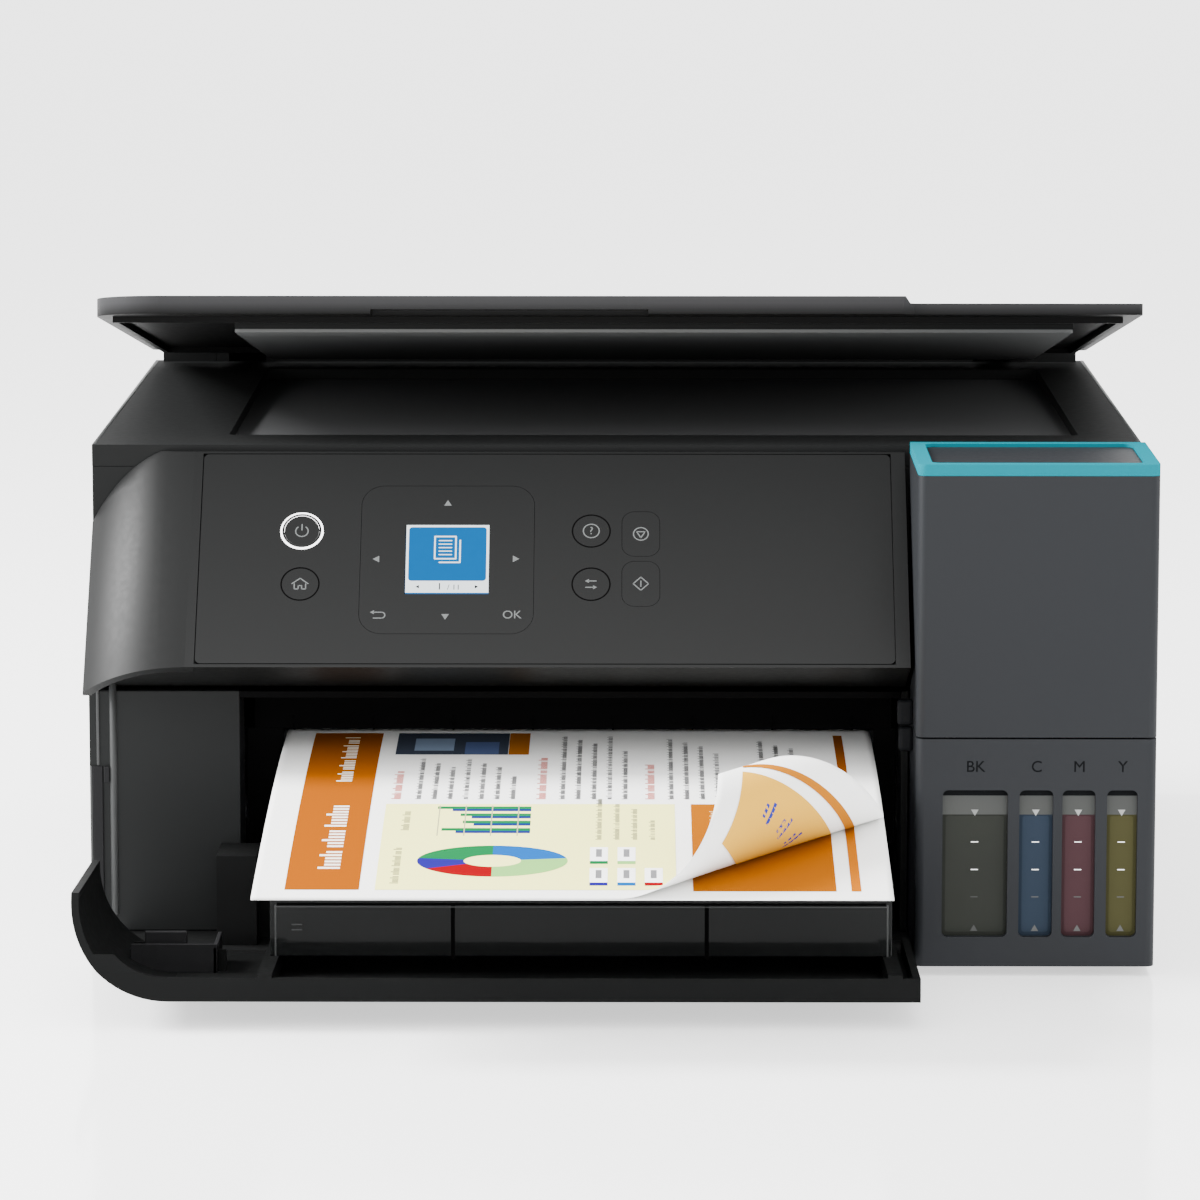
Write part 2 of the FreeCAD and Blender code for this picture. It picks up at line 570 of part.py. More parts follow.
inlet_pins = [
    rod(f"inlet_pin_{side}", "Y", "case_back - inlet_depth + wall / 2", "case_back - wall",
        (f"inlet_x {sign} 2 * wall", "inlet_z"), "wall / 2")
    for side, sign in (("low", "-"), ("high", "+"))
]
keep("power_inlet", fuse("power_inlet", cut("inlet_shell", inlet_body, inlet_mouth), *inlet_pins))
data_body = box(
    "data_body", ("data_x - data_width / 2 + rest_gap", "data_x + data_width / 2 - rest_gap"),
    ("case_back - data_depth", "case_back"),
    ("inlet_z - data_tall / 2 + rest_gap", "inlet_z + data_tall / 2 - rest_gap"),
)
data_mouth = box(
    "data_mouth", ("data_x - data_width / 2 + wall", "data_x + data_width / 2 - wall"),
    ("case_back - data_depth + wall", over("case_back")),
    ("inlet_z - data_tall / 2 + wall", "inlet_z + data_tall / 2 - wall"),
)
data_tongue = box(
    "data_tongue", ("data_x - wall", "data_x + wall"),
    ("case_back - data_depth + wall / 2", "case_back - wall"),
    ("inlet_z - wall / 2", "inlet_z + wall / 2"),
)
keep("data_socket", fuse("data_socket", cut("data_shell", data_body, data_mouth), data_tongue))

# Control panel housing: a slanted face with a rounded left end, open at the back


def panel_slab(name, left_end, right_end, corner_radius, sink):
    """Fill everything under the slanted face, whose left end bends away."""
    run = f"bend_run - bend_ease * {sink}"
    return onto_panel(prism(
        name, "Y", "-panel_length", "2 * panel_length",
        [(left_end, "-2 * panel_length"), (right_end, "-2 * panel_length"), (right_end, f"-{sink}"),
         (f"{left_end} + {run}", f"-{sink}", corner_radius),
         (left_end, f"-{sink} - ({run}) * bend_drop / bend_run")],
    ))


def panel_solid(name, left_end, right_end, profile, corner_radius, sink):
    """Trim a side profile with the slanted face and its bent left end."""
    side = prism(f"{name}_side", "X", left_end, right_end, profile)
    return common(name, side, panel_slab(f"{name}_slab", left_end, right_end, corner_radius, sink))


nose_y = "panel_y - panel_shell"
panel_outer = panel_solid(
    "panel_outer", "left", "panel_end",
    [(nose_y, "panel_low + panel_chin * panel_shell"), (nose_y, "panel_top_z"),
    ("panel_rear", "panel_top_z"),
     ("panel_rear", "panel_tail_z"), ("front + panel_tail_y", "panel_tail_z")],
    "panel_corner", "0",
)
panel_inner = panel_solid(
    "panel_inner", "left + panel_shell", "panel_end - panel_shell",
    [(nose_y, "panel_low + panel_chin * panel_shell + 1.1 * panel_shell"),
    (nose_y, "panel_top_z - panel_shell"),
     (over("panel_rear"), "panel_top_z - panel_shell"),
     (over("panel_rear"), "panel_tail_z + 1.1 * panel_shell"),
     ("front + panel_tail_y", "panel_tail_z + 1.1 * panel_shell")],
    "panel_corner - 2 * panel_shell", "panel_shell",
)
fascia_span = ("-fascia_left", "tank_left - panel_gap - 3 * fascia_inset + fascia_line")
fascia_rise = ("fascia_low", "panel_length - fascia_inset")
fascia_room = onto_panel(box(
    "fascia_room", (f"{fascia_span[0]} - fascia_line", f"{fascia_span[1]} + fascia_line"),
    (f"{fascia_rise[0]} - fascia_line", f"{fascia_rise[1]} + fascia_line"),
    ("-fascia_thick - rest_gap", over("0")),
))
ROUND_KEYS = {
    "power_button": ("-left_keys_x", "upper_keys_v", "power_radius"),
    "home_button": ("-left_keys_x", "lower_keys_v", "round_key_radius"),
    "help_button": ("-help_x", "upper_keys_v", "round_key_radius"),
    "settings_button": ("-help_x", "lower_keys_v", "round_key_radius"),
}
LONG_KEYS = {"stop_button": "stop_v", "start_button": "start_v"}


def round_outline(x, v, radius):
    """Outline of a round key."""
    return ("circle", x, v, radius)


def long_outline(v, grow):
    """Outline of an upright key with rounded ends, grown by a margin."""
    half_wide = f"(long_key_width / 2 + {grow})"
    half_tall = f"(long_key_tall / 2 + {grow})"
    return rounded(
        (f"long_key_x - {half_wide}", f"long_key_x + {half_wide}"),
        (f"{v} - {half_tall}", f"{v} + {half_tall}"),
        f"long_key_width / 3 + {grow}",
    )


def square_outline(grow):
    """Outline of the navigation pad, grown by a margin."""
    half = f"(nav_size / 2 + {grow})"
    return rounded(
        (f"-nav_x - {half}", f"-nav_x + {half}"), (f"nav_v - {half}", f"nav_v + {half}"),
        f"nav_corner + {grow}"
    )


def screen_outline(grow):
    """Outline of the display, grown by a margin."""
    wide = f"(screen_width / 2 + {grow})"
    tall = f"(screen_tall / 2 + {grow})"
    return rectangle((f"-nav_x - {wide}", f"-nav_x + {wide}"), (f"nav_v - {tall}", f"nav_v + {tall}"))


def key_holes(name, low, high, ring):
    """Make the cutters for every key, the ring and the pad, between two depths of the face."""
    cutters = []
    for key, (x, v, radius) in ROUND_KEYS.items():
        size = ring if key == "power_button" else f"{radius} + key_gap"
        cutters.append(prism(f"{name}_{key}", "Z", low, high, round_outline(x, v, size)))
    for key, v in LONG_KEYS.items():
        cutters.append(prism(f"{name}_{key}", "Z", low, high, long_outline(v, "key_gap")))
    cutters.append(prism(f"{name}_pad", "Z", low, high, square_outline("key_gap")))
    return [onto_panel(cutter) for cutter in cutters]


posts = [
    onto_panel(rod(f"panel_post{index}", "Z", "panel_bottom - rest_gap", "-panel_shell + rest_gap", spot,
    "wall"))
    for index, spot in enumerate([
        ("-fascia_left + board_low", "board_low + wall"), ("-fascia_left + board_low", "board_tall - wall"),
        ("board_width - fascia_left - board_low", "board_low + wall"),
        ("board_width - fascia_left - board_low", "board_tall - wall"),
    ])
]
panel_shell_solid = cut(
    "panel_shell_solid", panel_outer, panel_inner, fascia_room,
    *key_holes("housing_hole", "-2 * panel_shell", over("0"), "power_radius + key_gap"),
)
carrier = onto_panel(box(
    "key_carrier", ("-fascia_left", "board_width - fascia_left"), ("board_low", "board_low + board_tall"),
    ("panel_bottom - board_thick", "panel_bottom"),
))
wing_end = "left + wing_width"
wing_block = onto_panel(box(
    "wing_block", ("left", wing_end), ("0", "wing_rise"), ("-bend_drop - panel_shell / 2", over("0")),
))
wing_slab = panel_slab("wing_outer", "left", over(wing_end), "panel_corner", "0")
wing_solid = common("wing_solid", wing_slab, wing_block)
wing = cut("panel_wing", wing_solid, panel_slab(
    "wing_inner", "left + panel_shell", over(wing_end), "panel_corner - 2 * panel_shell", "panel_shell"
))
keep("panel_housing", fuse("panel_housing", panel_shell_solid, wing, carrier, *posts))
fascia_blank = onto_panel(prism(
    "fascia_blank", "Z", "-fascia_thick", "0", rounded(fascia_span, fascia_rise, "fascia_inset")
))
keep("panel_fascia", cut(
    "panel_fascia", fascia_blank,
    *key_holes("fascia_hole", "-2 * panel_shell", over("0"), "ring_radius + key_gap")
))
ring_blank = rod("ring_blank", "Z", "-fascia_thick", "0", ("-left_keys_x", "upper_keys_v"), "ring_radius")
ring_hole = rod(
    "ring_hole", "Z", under("-fascia_thick"), over("0"), ("-left_keys_x", "upper_keys_v"),
    "power_radius + key_gap"
)
keep("power_light_ring", onto_panel(cut("power_light_ring", ring_blank, ring_hole)))
flange = ("key_under - key_thick / 2", "key_under")
stem_span = ("panel_bottom + key_thick / 2", "key_under")
for key, (x, v, radius) in ROUND_KEYS.items():
    keep(key, onto_panel(fuse(
        key, prism(f"{key}_cap", "Z", under("key_under").replace("cut_over", "key_thick / 2"), "0",
                   round_outline(x, v, radius)),
        rod(f"{key}_flange", "Z", *flange, (x, v), f"{radius} + slip"),
        rod(f"{key}_stem", "Z", *stem_span, (x, v), "key_stem"),
    )))
for key, v in LONG_KEYS.items():
    keep(key, onto_panel(fuse(
        key, prism(f"{key}_cap", "Z", flange[0], "0", long_outline(v, "0")),
        prism(f"{key}_flange", "Z", *flange, long_outline(v, "slip")),
        rod(f"{key}_stem", "Z", *stem_span, ("long_key_x", v), "key_stem"),
    )))
pad_body = fuse(
    "pad_body", prism("pad_cap", "Z", flange[0], "0", square_outline("0")),
    prism("pad_flange", "Z", *flange, square_outline("slip")),
)
pad_window = prism("pad_window", "Z", "-2 * panel_shell", over("0"), screen_outline("2 * key_gap"))
keep("nav_pad", onto_panel(cut("nav_pad", pad_body, pad_window)))
keep("lcd_display", onto_panel(prism("lcd_display", "Z", "panel_bottom + rest_gap", "-key_gap",
    screen_outline("0"))))
# Front cover, drawn open and flat about its hinge, then tipped by its resting tilt
cover_span = ("-cover_reach", "-cover_start")


def cover_section(thick):
    """Outline of the cover seen from the front: a floor that curves up at the left end."""
    return [
        ("cover_end", "-cover_under"), ("cover_start_x", "-cover_under", "cover_curve"),
        ("cover_start_x", "cover_rise"), (f"cover_start_x + {thick}", "cover_rise"),
        (f"cover_start_x + {thick}", f"{thick} - cover_under", f"cover_curve - {thick}"),
        ("cover_end", f"{thick} - cover_under"),
    ]


cover_items = [
    prism("cover_floor", "Y", *cover_span, cover_section("cover_plate")),
    prism("cover_front_lip", "Y", "-cover_reach", "cover_lip_thick - cover_reach",
    cover_section("cover_lip")),
    box("cover_side_lip", ("cover_end - cover_lip_thick", "cover_end"), cover_span,
        ("-cover_under", "cover_lip - cover_under")),
]
for side, start in (("left", "cassette_x_low - slip - rail_width"), ("right", "cassette_x_high + slip")):
    cover_items.append(box(
        f"tray_rail_{side}", (start, f"{start} + rail_width"), ("-cover_reach", "-tray_back"),
        ("-cover_under", "rail_top"),
    ))
for index, (reach, length) in enumerate((("cover_reach / 3", "cover_curve"),
    ("cover_reach / 2", "2 * cover_curve"))):
    cover_items.append(box(
        f"cover_rib{index}", ("cover_start_x + cover_curve / 2",
        f"cover_start_x + cover_curve / 2 + {length} / 2"),
        (f"-{reach}", f"rib_thick - {reach}"), ("-cover_under", "rib_height + cover_plate"),
    ))
for side, start in (
    ("left", "ear_left + cover_ear + slip"), ("right", "ear_right - slip - knuckle_width"),
):
    cover_items.append(box(
        f"knuckle_arm_{side}", (start, f"{start} + knuckle_width"), ("-cover_start - cut_over", "0"),
        ("-cover_under", "cover_plate - cover_under"),
    ))
    cover_items.append(rod(
        f"knuckle_{side}", "X", start, f"{start} + knuckle_width", ("0", "0"), "knuckle_radius"
    ))
for side, low, high in (
    ("left", "ear_left", "ear_left + cover_ear + knuckle_width"),
    ("right", "ear_right - knuckle_width", "ear_right + cover_ear"),
):
    cover_items.append(rod(f"cover_pin_{side}", "X", low, high, ("0", "0"), "cover_pin_radius"))
wrap_trim = prism(
    "wrap_trim", "X", under("left"), "left + 2 * cover_curve",
    [("-cover_reach - cut_over", "cover_lip"), ("-cover_reach", "cover_lip"),
     ("wrap_slant - cover_reach", over("cover_rise")), ("-cover_reach - cut_over", over("cover_rise"))],
)
keep("front_cover", onto_cover(cut("front_cover", fuse("cover_solid", *cover_items), wrap_trim)))
# Output tray: a clear hood that stands on the cover's rails
tray_span = ("-tray_front", "-tray_back")
tray_rise = ("rail_top + rest_gap", "rail_top + tray_tall")
tray_solid = box("tray_solid", ("tray_x_low", "tray_x_high"), tray_span, tray_rise)
tray_room = box(
    "tray_room", ("tray_x_low + tray_wall", "tray_x_high - tray_wall"),
    ("tray_wall - tray_front", over("-tray_back")), (under("rail_top"), "rail_top + tray_tall - tray_wall"),
)
tray_ribs = [
    box(f"tray_rib{index}", (f"tray_x_low + (tray_x_high - tray_x_low) * {share} - rib_thick / 2",
                             f"tray_x_low + (tray_x_high - tray_x_low) * {share} + rib_thick / 2"),
        ("-tray_front", "tray_wall + rib_thick - tray_front"), tray_rise)
    for index, share in enumerate(("0.3", "0.7"))
]
keep("output_tray", onto_cover(fuse("output_tray", cut("tray_hood", tray_solid, tray_room), *tray_ribs)))

# Paper cassette with its edge guides and their pinion
cassette_solid = box(
    "cassette_solid", ("cassette_x_low", "cassette_x_high"),
    ("front + cassette_front", "front + cassette_back"),
    ("cassette_low", "cassette_low + cassette_tall"),
)
cassette_room = box(
    "cassette_room", ("cassette_x_low + cassette_wall", "cassette_x_high - cassette_wall"),
    ("front + cassette_front + cassette_wall", "front + cassette_back - cassette_wall"),
    ("cassette_low + cassette_wall", over("cassette_low + cassette_tall")),
)
grip_cut_out = rod(
    "cassette_grip", "Y", under("front + cassette_front"), "front + cassette_front + 2 * cassette_wall",
    ("cassette_mid", "cassette_low + cassette_tall"), "cassette_tall / 2",
)
guide_floor = "cassette_low + cassette_wall"
guide_mid = "front + guide_start + guide_long / 2"
keep("paper_cassette", cut("paper_cassette", cassette_solid, cassette_room, grip_cut_out))
GUIDES = {
    "edge_guide_left": ("cassette_x_low + cassette_wall + guide_margin", "1", "-1"),
    "edge_guide_right": ("cassette_x_high - cassette_wall - guide_margin", "-1", "1"),
}
for name, (edge, inward, lane) in GUIDES.items():
    ends = sorted((edge, f"{edge} + {inward} * guide_thick"), key=number)
    reach = sorted((edge, f"{edge} + {inward} * rack_long"), key=number)
    middle = f"{guide_mid} + {lane} * (guide_pinion_radius + 2 * rest_gap + rack_width / 2)"
    plate = box(
        f"{name}_plate", tuple(ends), ("front + guide_start", "front + guide_start + guide_long"),
        (f"{guide_floor} + rest_gap", f"{guide_floor} + guide_tall"),
    )
    rack = box(
        f"{name}_rack", tuple(reach), (f"{middle} - rack_width / 2", f"{middle} + rack_width / 2"),
        (f"{guide_floor} + rest_gap", f"{guide_floor} + rack_thick"),
    )
    keep(name, fuse(name, plate, rack))
# Printed sheet that is coming out, drooping towards its front edge
SHEET_LINE = [("sheet_tail", 0.0), ("sheet_exit", 0.0), ("sheet_exit / 2", 0.06), ("0", 0.24),
              ("-sheet_reach / 2", 0.58), ("-sheet_reach", 1.0)]
lower = [(f"front + {y}", f"sheet_level - {drop} * sheet_drop") for y, drop in SHEET_LINE]
upper = [(y, f"{z} + sheet_thick") for y, z in reversed(lower)]
keep("printed_sheet", prism("printed_sheet", "X", "sheet_left", "path_right", lower + upper))

# Scanner unit: pan with hinge blocks, guide rod, scan bar, glass and top frame
pan_solid = box("pan_solid", ("left", "right"), ("scanner_front", "case_back"),
    ("scanner_low", "frame_low"))
pan_room = box(
    "pan_room", ("left + wall", "right - wall"), ("scanner_front + wall", "case_back - wall"),
    ("scanner_low + wall", over("frame_low")),
)
pan_items = [cut("pan_tub", pan_solid, pan_room)]
pan_cuts = []
for side, sign in (("left", "-1"), ("right", "1")):
    middle = f"{sign} * lift_x"
    pan_items.append(box(
        f"lift_block_{side}", (f"{middle} - lift_block / 2", f"{middle} + lift_block / 2"),
        ("lift_y - 2 * lift_notch", "case_back"), ("scanner_low", "lift_axis_z + 2 * lift_notch"),
    ))
    pan_cuts.append(box(
        f"lift_notch_{side}", (f"{middle} - lift_ear / 2 - slip", f"{middle} + lift_ear / 2 + slip"),
        ("lift_y - lift_notch", over("case_back")), (under("scanner_low"), "lift_axis_z + lift_notch"),
    ))
pan_pins = [
    rod(f"lift_pin_{side}", "X", f"{sign} * lift_x - lift_block / 2", f"{sign} * lift_x + lift_block / 2",
        ("lift_y", "lift_axis_z"), "lift_pin_radius")
    for side, sign in (("left", "-1"), ("right", "1"))
]
pan_pins.append(rod("scan_rail", "X", "left + wall / 2", "right - wall / 2", ("front + rod_y", "rod_z"),
    "rod_radius"))
keep("scanner_pan", fuse("scanner_pan", cut("pan_shell", fuse("pan_blank", *pan_items), *pan_cuts),
    *pan_pins))
bar_solid = box(
    "bar_solid", ("left + wall + bar_width / 2", "left + wall + 3 * bar_width / 2"),
    ("front + rod_y - bar_long / 2", "front + rod_y + bar_long / 2"),
    ("rod_z - 2 * rod_radius", "rod_z - 2 * rod_radius + bar_tall"),
)
bar_bore = rod(
    "bar_bore", "X", "left", "left + wall + 2 * bar_width", ("front + rod_y", "rod_z"),
    "rod_radius + pin_play"
)
bar_slot = box(
    "bar_slot", ("left + wall + bar_width - wall", "left + wall + bar_width + wall"),
    ("front + rod_y - bar_long / 2 + wall", "front + rod_y + bar_long / 2 - wall"),
    ("rod_z - 2 * rod_radius + bar_tall - wall / 2", over("rod_z - 2 * rod_radius + bar_tall")),
)
keep("scan_bar", cut("scan_bar", bar_solid, bar_bore, bar_slot))
frame_solid = box("frame_solid", ("left", "right"), ("scanner_front", "case_back"),
    ("frame_low + rest_gap", "rim_height"))
frame_room = box(
    "frame_room", ("left + wall", "right - wall"), ("scanner_front + wall", "case_back - wall"),
    (under("frame_low"), "rim_height - frame_plate"),
)
frame_hole = prism(
    "frame_hole", "Z", "frame_low", over("rim_height"),
    rounded(("glass_left + glass_ledge", "glass_right - glass_ledge"),
            ("glass_front + glass_ledge", "glass_rear - glass_ledge"), "glass_ledge"),
)
lugs = []
hinge_spots = {"left": "-hinge_x", "right": "hinge_x"}
for side, middle in hinge_spots.items():
    for end, sign in (("low", "-1"), ("high", "1")):
        centre = f"{middle} + {sign} * (hinge_width / 2 + slip + lug_width / 2)"
        lugs.append(box(
            f"lug_{side}_{end}", (f"{centre} - lug_width / 2", f"{centre} + lug_width / 2"),
            ("lid_y - hinge_radius", "lid_y + hinge_radius"), ("rim_height - frame_plate", "lid_axis_z"),
        ))
        lugs.append(rod(
            f"lug_crown_{side}_{end}", "X", f"{centre} - lug_width / 2", f"{centre} + lug_width / 2",
            ("lid_y", "lid_axis_z"), "hinge_radius",
        ))
    lugs.append(rod(
        f"lid_pin_{side}", "X", f"{middle} - hinge_width / 2 - slip - lug_width",
        f"{middle} + hinge_width / 2 + slip + lug_width", ("lid_y", "lid_axis_z"), "hinge_pin_radius",
    ))
rail_reach = "(hinge_x - hinge_width / 2 - slip - lug_width / 2)"
rear_rail = box(
    "rear_rail", (f"-{rail_reach}", rail_reach), ("lid_y - hinge_radius", "lid_y + hinge_radius"),
    ("rim_height - frame_plate", "lid_axis_z + hinge_radius"),
)
frame_shell = cut("frame_shell", frame_solid, frame_room, frame_hole)
keep("scanner_frame", fuse("scanner_frame", frame_shell, rear_rail, *lugs))
keep("scanner_glass", box(
    "scanner_glass", ("glass_left", "glass_right"), ("glass_front", "glass_rear"),
    ("rim_height - frame_plate - rest_gap - glass_thick", "rim_height - frame_plate - rest_gap"),
))

# Scanner lid with its mat and hinges, drawn shut about the hinge, then opened by its resting angle
lid_rise = ("lid_floor", "lid_floor + lid_thick")
lid_plate = prism(
    "lid_plate", "Z", *lid_rise,
    [("left", "-lid_tail", "lid_step"), ("left", "-lid_reach", "lid_corner"), ("lid_edge", "-lid_reach"),
     ("lid_edge + lid_step_back", "lid_step_back - lid_reach"),
     ("right", "lid_step_back - lid_reach", "lid_step"), ("right", "-lid_tail", "lid_step")],
)
lid_lower = prism(
    "lid_lower", "Y", under("-lid_reach"), over("-lid_tail"),
    [("lid_edge", over("lid_rise")), ("lid_edge + lid_step", "lid_rise - lid_step"),
     (over("right"), "lid_rise - lid_step"), (over("right"), over("lid_rise"))],
)
lid_grip = box(
    "lid_grip", ("-grip_width", "grip_width / 8"), (under("-lid_reach"), "grip_depth - lid_reach"),
    (under("lid_floor"), "lid_floor + grip_cut"),
)
skirt_x = ("left + lid_skirt_inset", "right - lid_skirt_inset")
skirt_y = ("lid_step_back + lid_skirt_inset + grip_depth - lid_reach", "-hinge_arm - 2 * lid_skirt_thick")
lid_skirt = prism(
    "lid_skirt", "Z", "lid_floor - lid_skirt", "lid_floor + rest_gap",
    rectangle(skirt_x, skirt_y),
    rectangle((f"{skirt_x[0]} + lid_skirt_thick", f"{skirt_x[1]} - lid_skirt_thick"),
              (f"{skirt_y[0]} + lid_skirt_thick", f"{skirt_y[1]} - lid_skirt_thick")),
)
keep("scanner_lid", onto_lid(cut("scanner_lid", fuse("lid_blank", lid_plate, lid_skirt), lid_lower,
    lid_grip)))
keep("lid_mat", onto_lid(prism(
    "lid_mat", "Z", "lid_floor - mat_thick", "lid_floor - rest_gap",
    rounded(("glass_left + glass_ledge + mat_margin", "glass_right - glass_ledge - mat_margin"),
            ("glass_front + glass_ledge + mat_margin - lid_y",
            "glass_rear - glass_ledge - 2 * mat_margin - lid_y"),
            "mat_margin"),
)))
arms = []
for side, middle in hinge_spots.items():
    span = (f"{middle} - hinge_width / 2", f"{middle} + hinge_width / 2")
    leaf = box(
        f"hinge_leaf_{side}", span, ("-hinge_arm", "0"),
        ("lid_floor - rest_gap - hinge_plate", "lid_floor - rest_gap")
    )
    barrel = rod(f"hinge_barrel_{side}", "X", *span, ("0", "0"), "hinge_radius")
    bore = rod(f"hinge_bore_{side}", "X", under(span[0]), over(span[1]), ("0", "0"),
        "hinge_pin_radius + pin_play")
    arms.append(cut(f"hinge_{side}", fuse(f"hinge_blank_{side}", leaf, barrel), bore))
keep("lid_hinges", onto_lid(group("lid_hinges", *arms)))
# Ink tank unit: lower housing with four windows
INKS = {"black": ("black_low", "black_high"), "cyan": ("cyan_low", "cyan_high"),
        "magenta": ("magenta_low", "magenta_high"), "yellow": ("yellow_low", "yellow_high")}
housing_low = "foot_height + slip"
tank_plan = [("tank_left", "front", "tank_round"), ("right", "front", "tank_round"),
             ("right", "front + tank_depth"), ("tank_left", "front + tank_depth")]
housing_solid = prism("housing_solid", "Z", housing_low, "tank_split", tank_plan)
housing_cuts = [
    box("housing_room", ("tank_left + wall", "right - wall"), ("front + wall", "front + tank_depth - wall"),
        ("deck_top", over("tank_split"))),
    box("housing_under", (under("tank_left"), "right - wall"), ("front + wall", over("front + tank_depth")),
        (under("foot_height"), "deck_low")),
    box("housing_tubes", ("tank_left + black_low", "right - 2 * wall"),
        ("front + tank_depth - 2 * wall", over("front + tank_depth")),
        ("deck_top", "deck_top + tube_slot")),
]
for ink, (low, high) in INKS.items():
    housing_cuts.append(prism(
        f"window_{ink}", "Y", under("front"), "front + 2 * wall",
        rounded((f"tank_left + {low}", f"tank_left + {high}"), ("window_low", "window_high"),
        "window_corner"),
    ))
housing_shell = cut("housing_shell", housing_solid, *housing_cuts)

# Clear tanks, their ink, filler caps and tubes
tanks = []
inks = []
tube_ports = []
for ink, (low, high) in INKS.items():
    x_low = f"tank_left + {low} - bottle_over"
    x_high = f"tank_left + {high} + bottle_over"
    centre = f"tank_left + ({low} + {high}) / 2"
    neck_spot = (centre, "front + neck_y")
    solid = box(
        f"bottle_{ink}", (x_low, x_high), ("front + wall + rest_gap", "front + bottle_back"),
        ("bottle_low", "bottle_high")
    )
    neck = rod(f"neck_{ink}", "Z", "bottle_high - bottle_wall", "bottle_high + neck_tall", neck_spot,
        "neck_radius")
    room = box(
        f"bottle_room_{ink}", (f"{x_low} + bottle_wall", f"{x_high} - bottle_wall"),
        ("front + wall + rest_gap + bottle_wall", "front + bottle_back - bottle_wall"),
        ("bottle_low + bottle_wall", "bottle_high - bottle_wall"),
    )
    throat = rod(
        f"throat_{ink}", "Z", "bottle_high - 2 * bottle_wall", over("bottle_high + neck_tall"), neck_spot,
        "neck_bore"
    )
    tanks.append(cut(f"tank_{ink}", fuse(f"tank_blank_{ink}", solid, neck), room, throat))
    inks.append(box(
        f"ink_{ink}", (f"{x_low} + bottle_wall + rest_gap", f"{x_high} - bottle_wall - rest_gap"),
        ("front + wall + bottle_wall + 2 * rest_gap", "front + bottle_back - bottle_wall - rest_gap"),
        ("bottle_low + bottle_wall + rest_gap", "ink_level"),
    ))
    cap_solid = rod(
        f"cap_solid_{ink}", "Z", "bottle_high + rest_gap", "bottle_high + neck_tall + cap_roof", neck_spot,
        "cap_radius"
    )
    cap_room = rod(
        f"cap_room_{ink}", "Z", "bottle_high", "bottle_high + neck_tall + rest_gap", neck_spot,
        "neck_radius + rest_gap"
    )
    keep(f"ink_cap_{ink}", cut(f"ink_cap_{ink}", cap_solid, cap_room))
    tube_ports.append(centre)
keep("ink_tanks", group("ink_tanks", *tanks))
keep("inks", group("inks", *inks))


def tube(points, radius, bend):
    """Sweep a round tube along straight runs joined by arcs."""
    edges = []
    start = points[0]
    for before, at, after in zip(points, points[1:], points[2:]):
        inward = (before - at).normalize()
        outward = (after - at).normalize()
        first = at + inward * bend
        last = at + outward * bend
        centre = at + (inward + outward) * bend
        middle = centre + (at - centre).normalize() * bend
        edges.append(Part.makeLine(start, first))
        edges.append(Part.Arc(first, middle, last).toShape())
        start = last
    edges.append(Part.makeLine(start, points[-1]))
    ring = Part.Wire([Part.makeCircle(radius, points[0], (points[1] - points[0]).normalize())])
    return Part.Wire(edges).makePipeShell([ring], True, False)


tubes = []
for index, port in enumerate(tube_ports):
    x = number(port)
    level = number("tube_level") + index * number("tube_pitch")
    riser = number("front + tube_riser")
    turn = number("cassette_mid - tube_turn")
    end = number("carriage_x - tube_back")
    back = riser + 2.4 * number("tube_bend")
    port_z = number("tube_port_z")
    points = [
        (x, number("front + bottle_back + rest_gap"), port_z), (x, riser, port_z), (x, riser, level),
        (turn, riser, level), (turn, back, level), (end, back, level),
        (end, number("front + carriage_front"), level),
    ]
    vectors = [FreeCAD.Vector(*point) for point in points]
    vectors[-1].y -= number("rest_gap")
    tubes.append(tube(vectors, number("tube_radius"), number("tube_bend")))
ink_tubes = doc.addObject("Part::Feature", "ink_tubes")
ink_tubes.Shape = Part.Compound(tubes)
keep("ink_tubes", ink_tubes)

# Hinge wall of the housing behind the tanks, and the hinged tank cover with its bright trim
frame_x = ("tank_left + wall + slip", "right - wall - slip")
frame_y = ("tank_hinge_y - tank_frame_thick / 2", "tank_hinge_y + tank_frame_thick / 2")
back_plate = box("back_plate", frame_x, frame_y, ("deck_low", "tank_axis_z - 2 * tank_ear_radius"))
back_slot = box(
    "back_slot", ("tank_left + black_low", "right - 2 * wall"), (under(frame_y[0]), over(frame_y[1])),
    ("deck_top", "deck_top + tube_slot"),
)
ears = []
for side, start in (("left", frame_x[0]), ("right", f"{frame_x[1]} - tank_ear")):
    span = (start, f"{start} + tank_ear")
    ears.append(box(
        f"tank_ear_{side}", span, ("tank_hinge_y - tank_ear_radius", "tank_hinge_y + tank_ear_radius"),
        ("tank_axis_z - 4 * tank_ear_radius", "tank_axis_z"),
    ))
    ears.append(rod(f"tank_crown_{side}", "X", *span, ("tank_hinge_y", "tank_axis_z"), "tank_ear_radius"))
ear_bore = rod("ear_bore", "X", "tank_left", "right", ("tank_hinge_y", "tank_axis_z"),
    "tank_pin_radius + pin_play")
back_blank = fuse("back_blank", cut("back_wall", back_plate, back_slot), *ears)
keep("tank_housing", fuse("tank_housing", housing_shell, cut("hinge_wall", back_blank, ear_bore)))
cover_plan = [("tank_left", "front", "tank_round"), ("right", "front", "tank_round"),
              ("right", "front + tank_cover_depth"), ("tank_left", "front + tank_cover_depth")]
trim_plan = rounded(("tank_left + trim_inset", "right - trim_inset"),
                    ("front + trim_inset", "front + tank_cover_depth - trim_inset"), "tank_round")
cover_body = prism("tank_cover_body", "Z", "tank_split + seam", "trim_low", cover_plan)
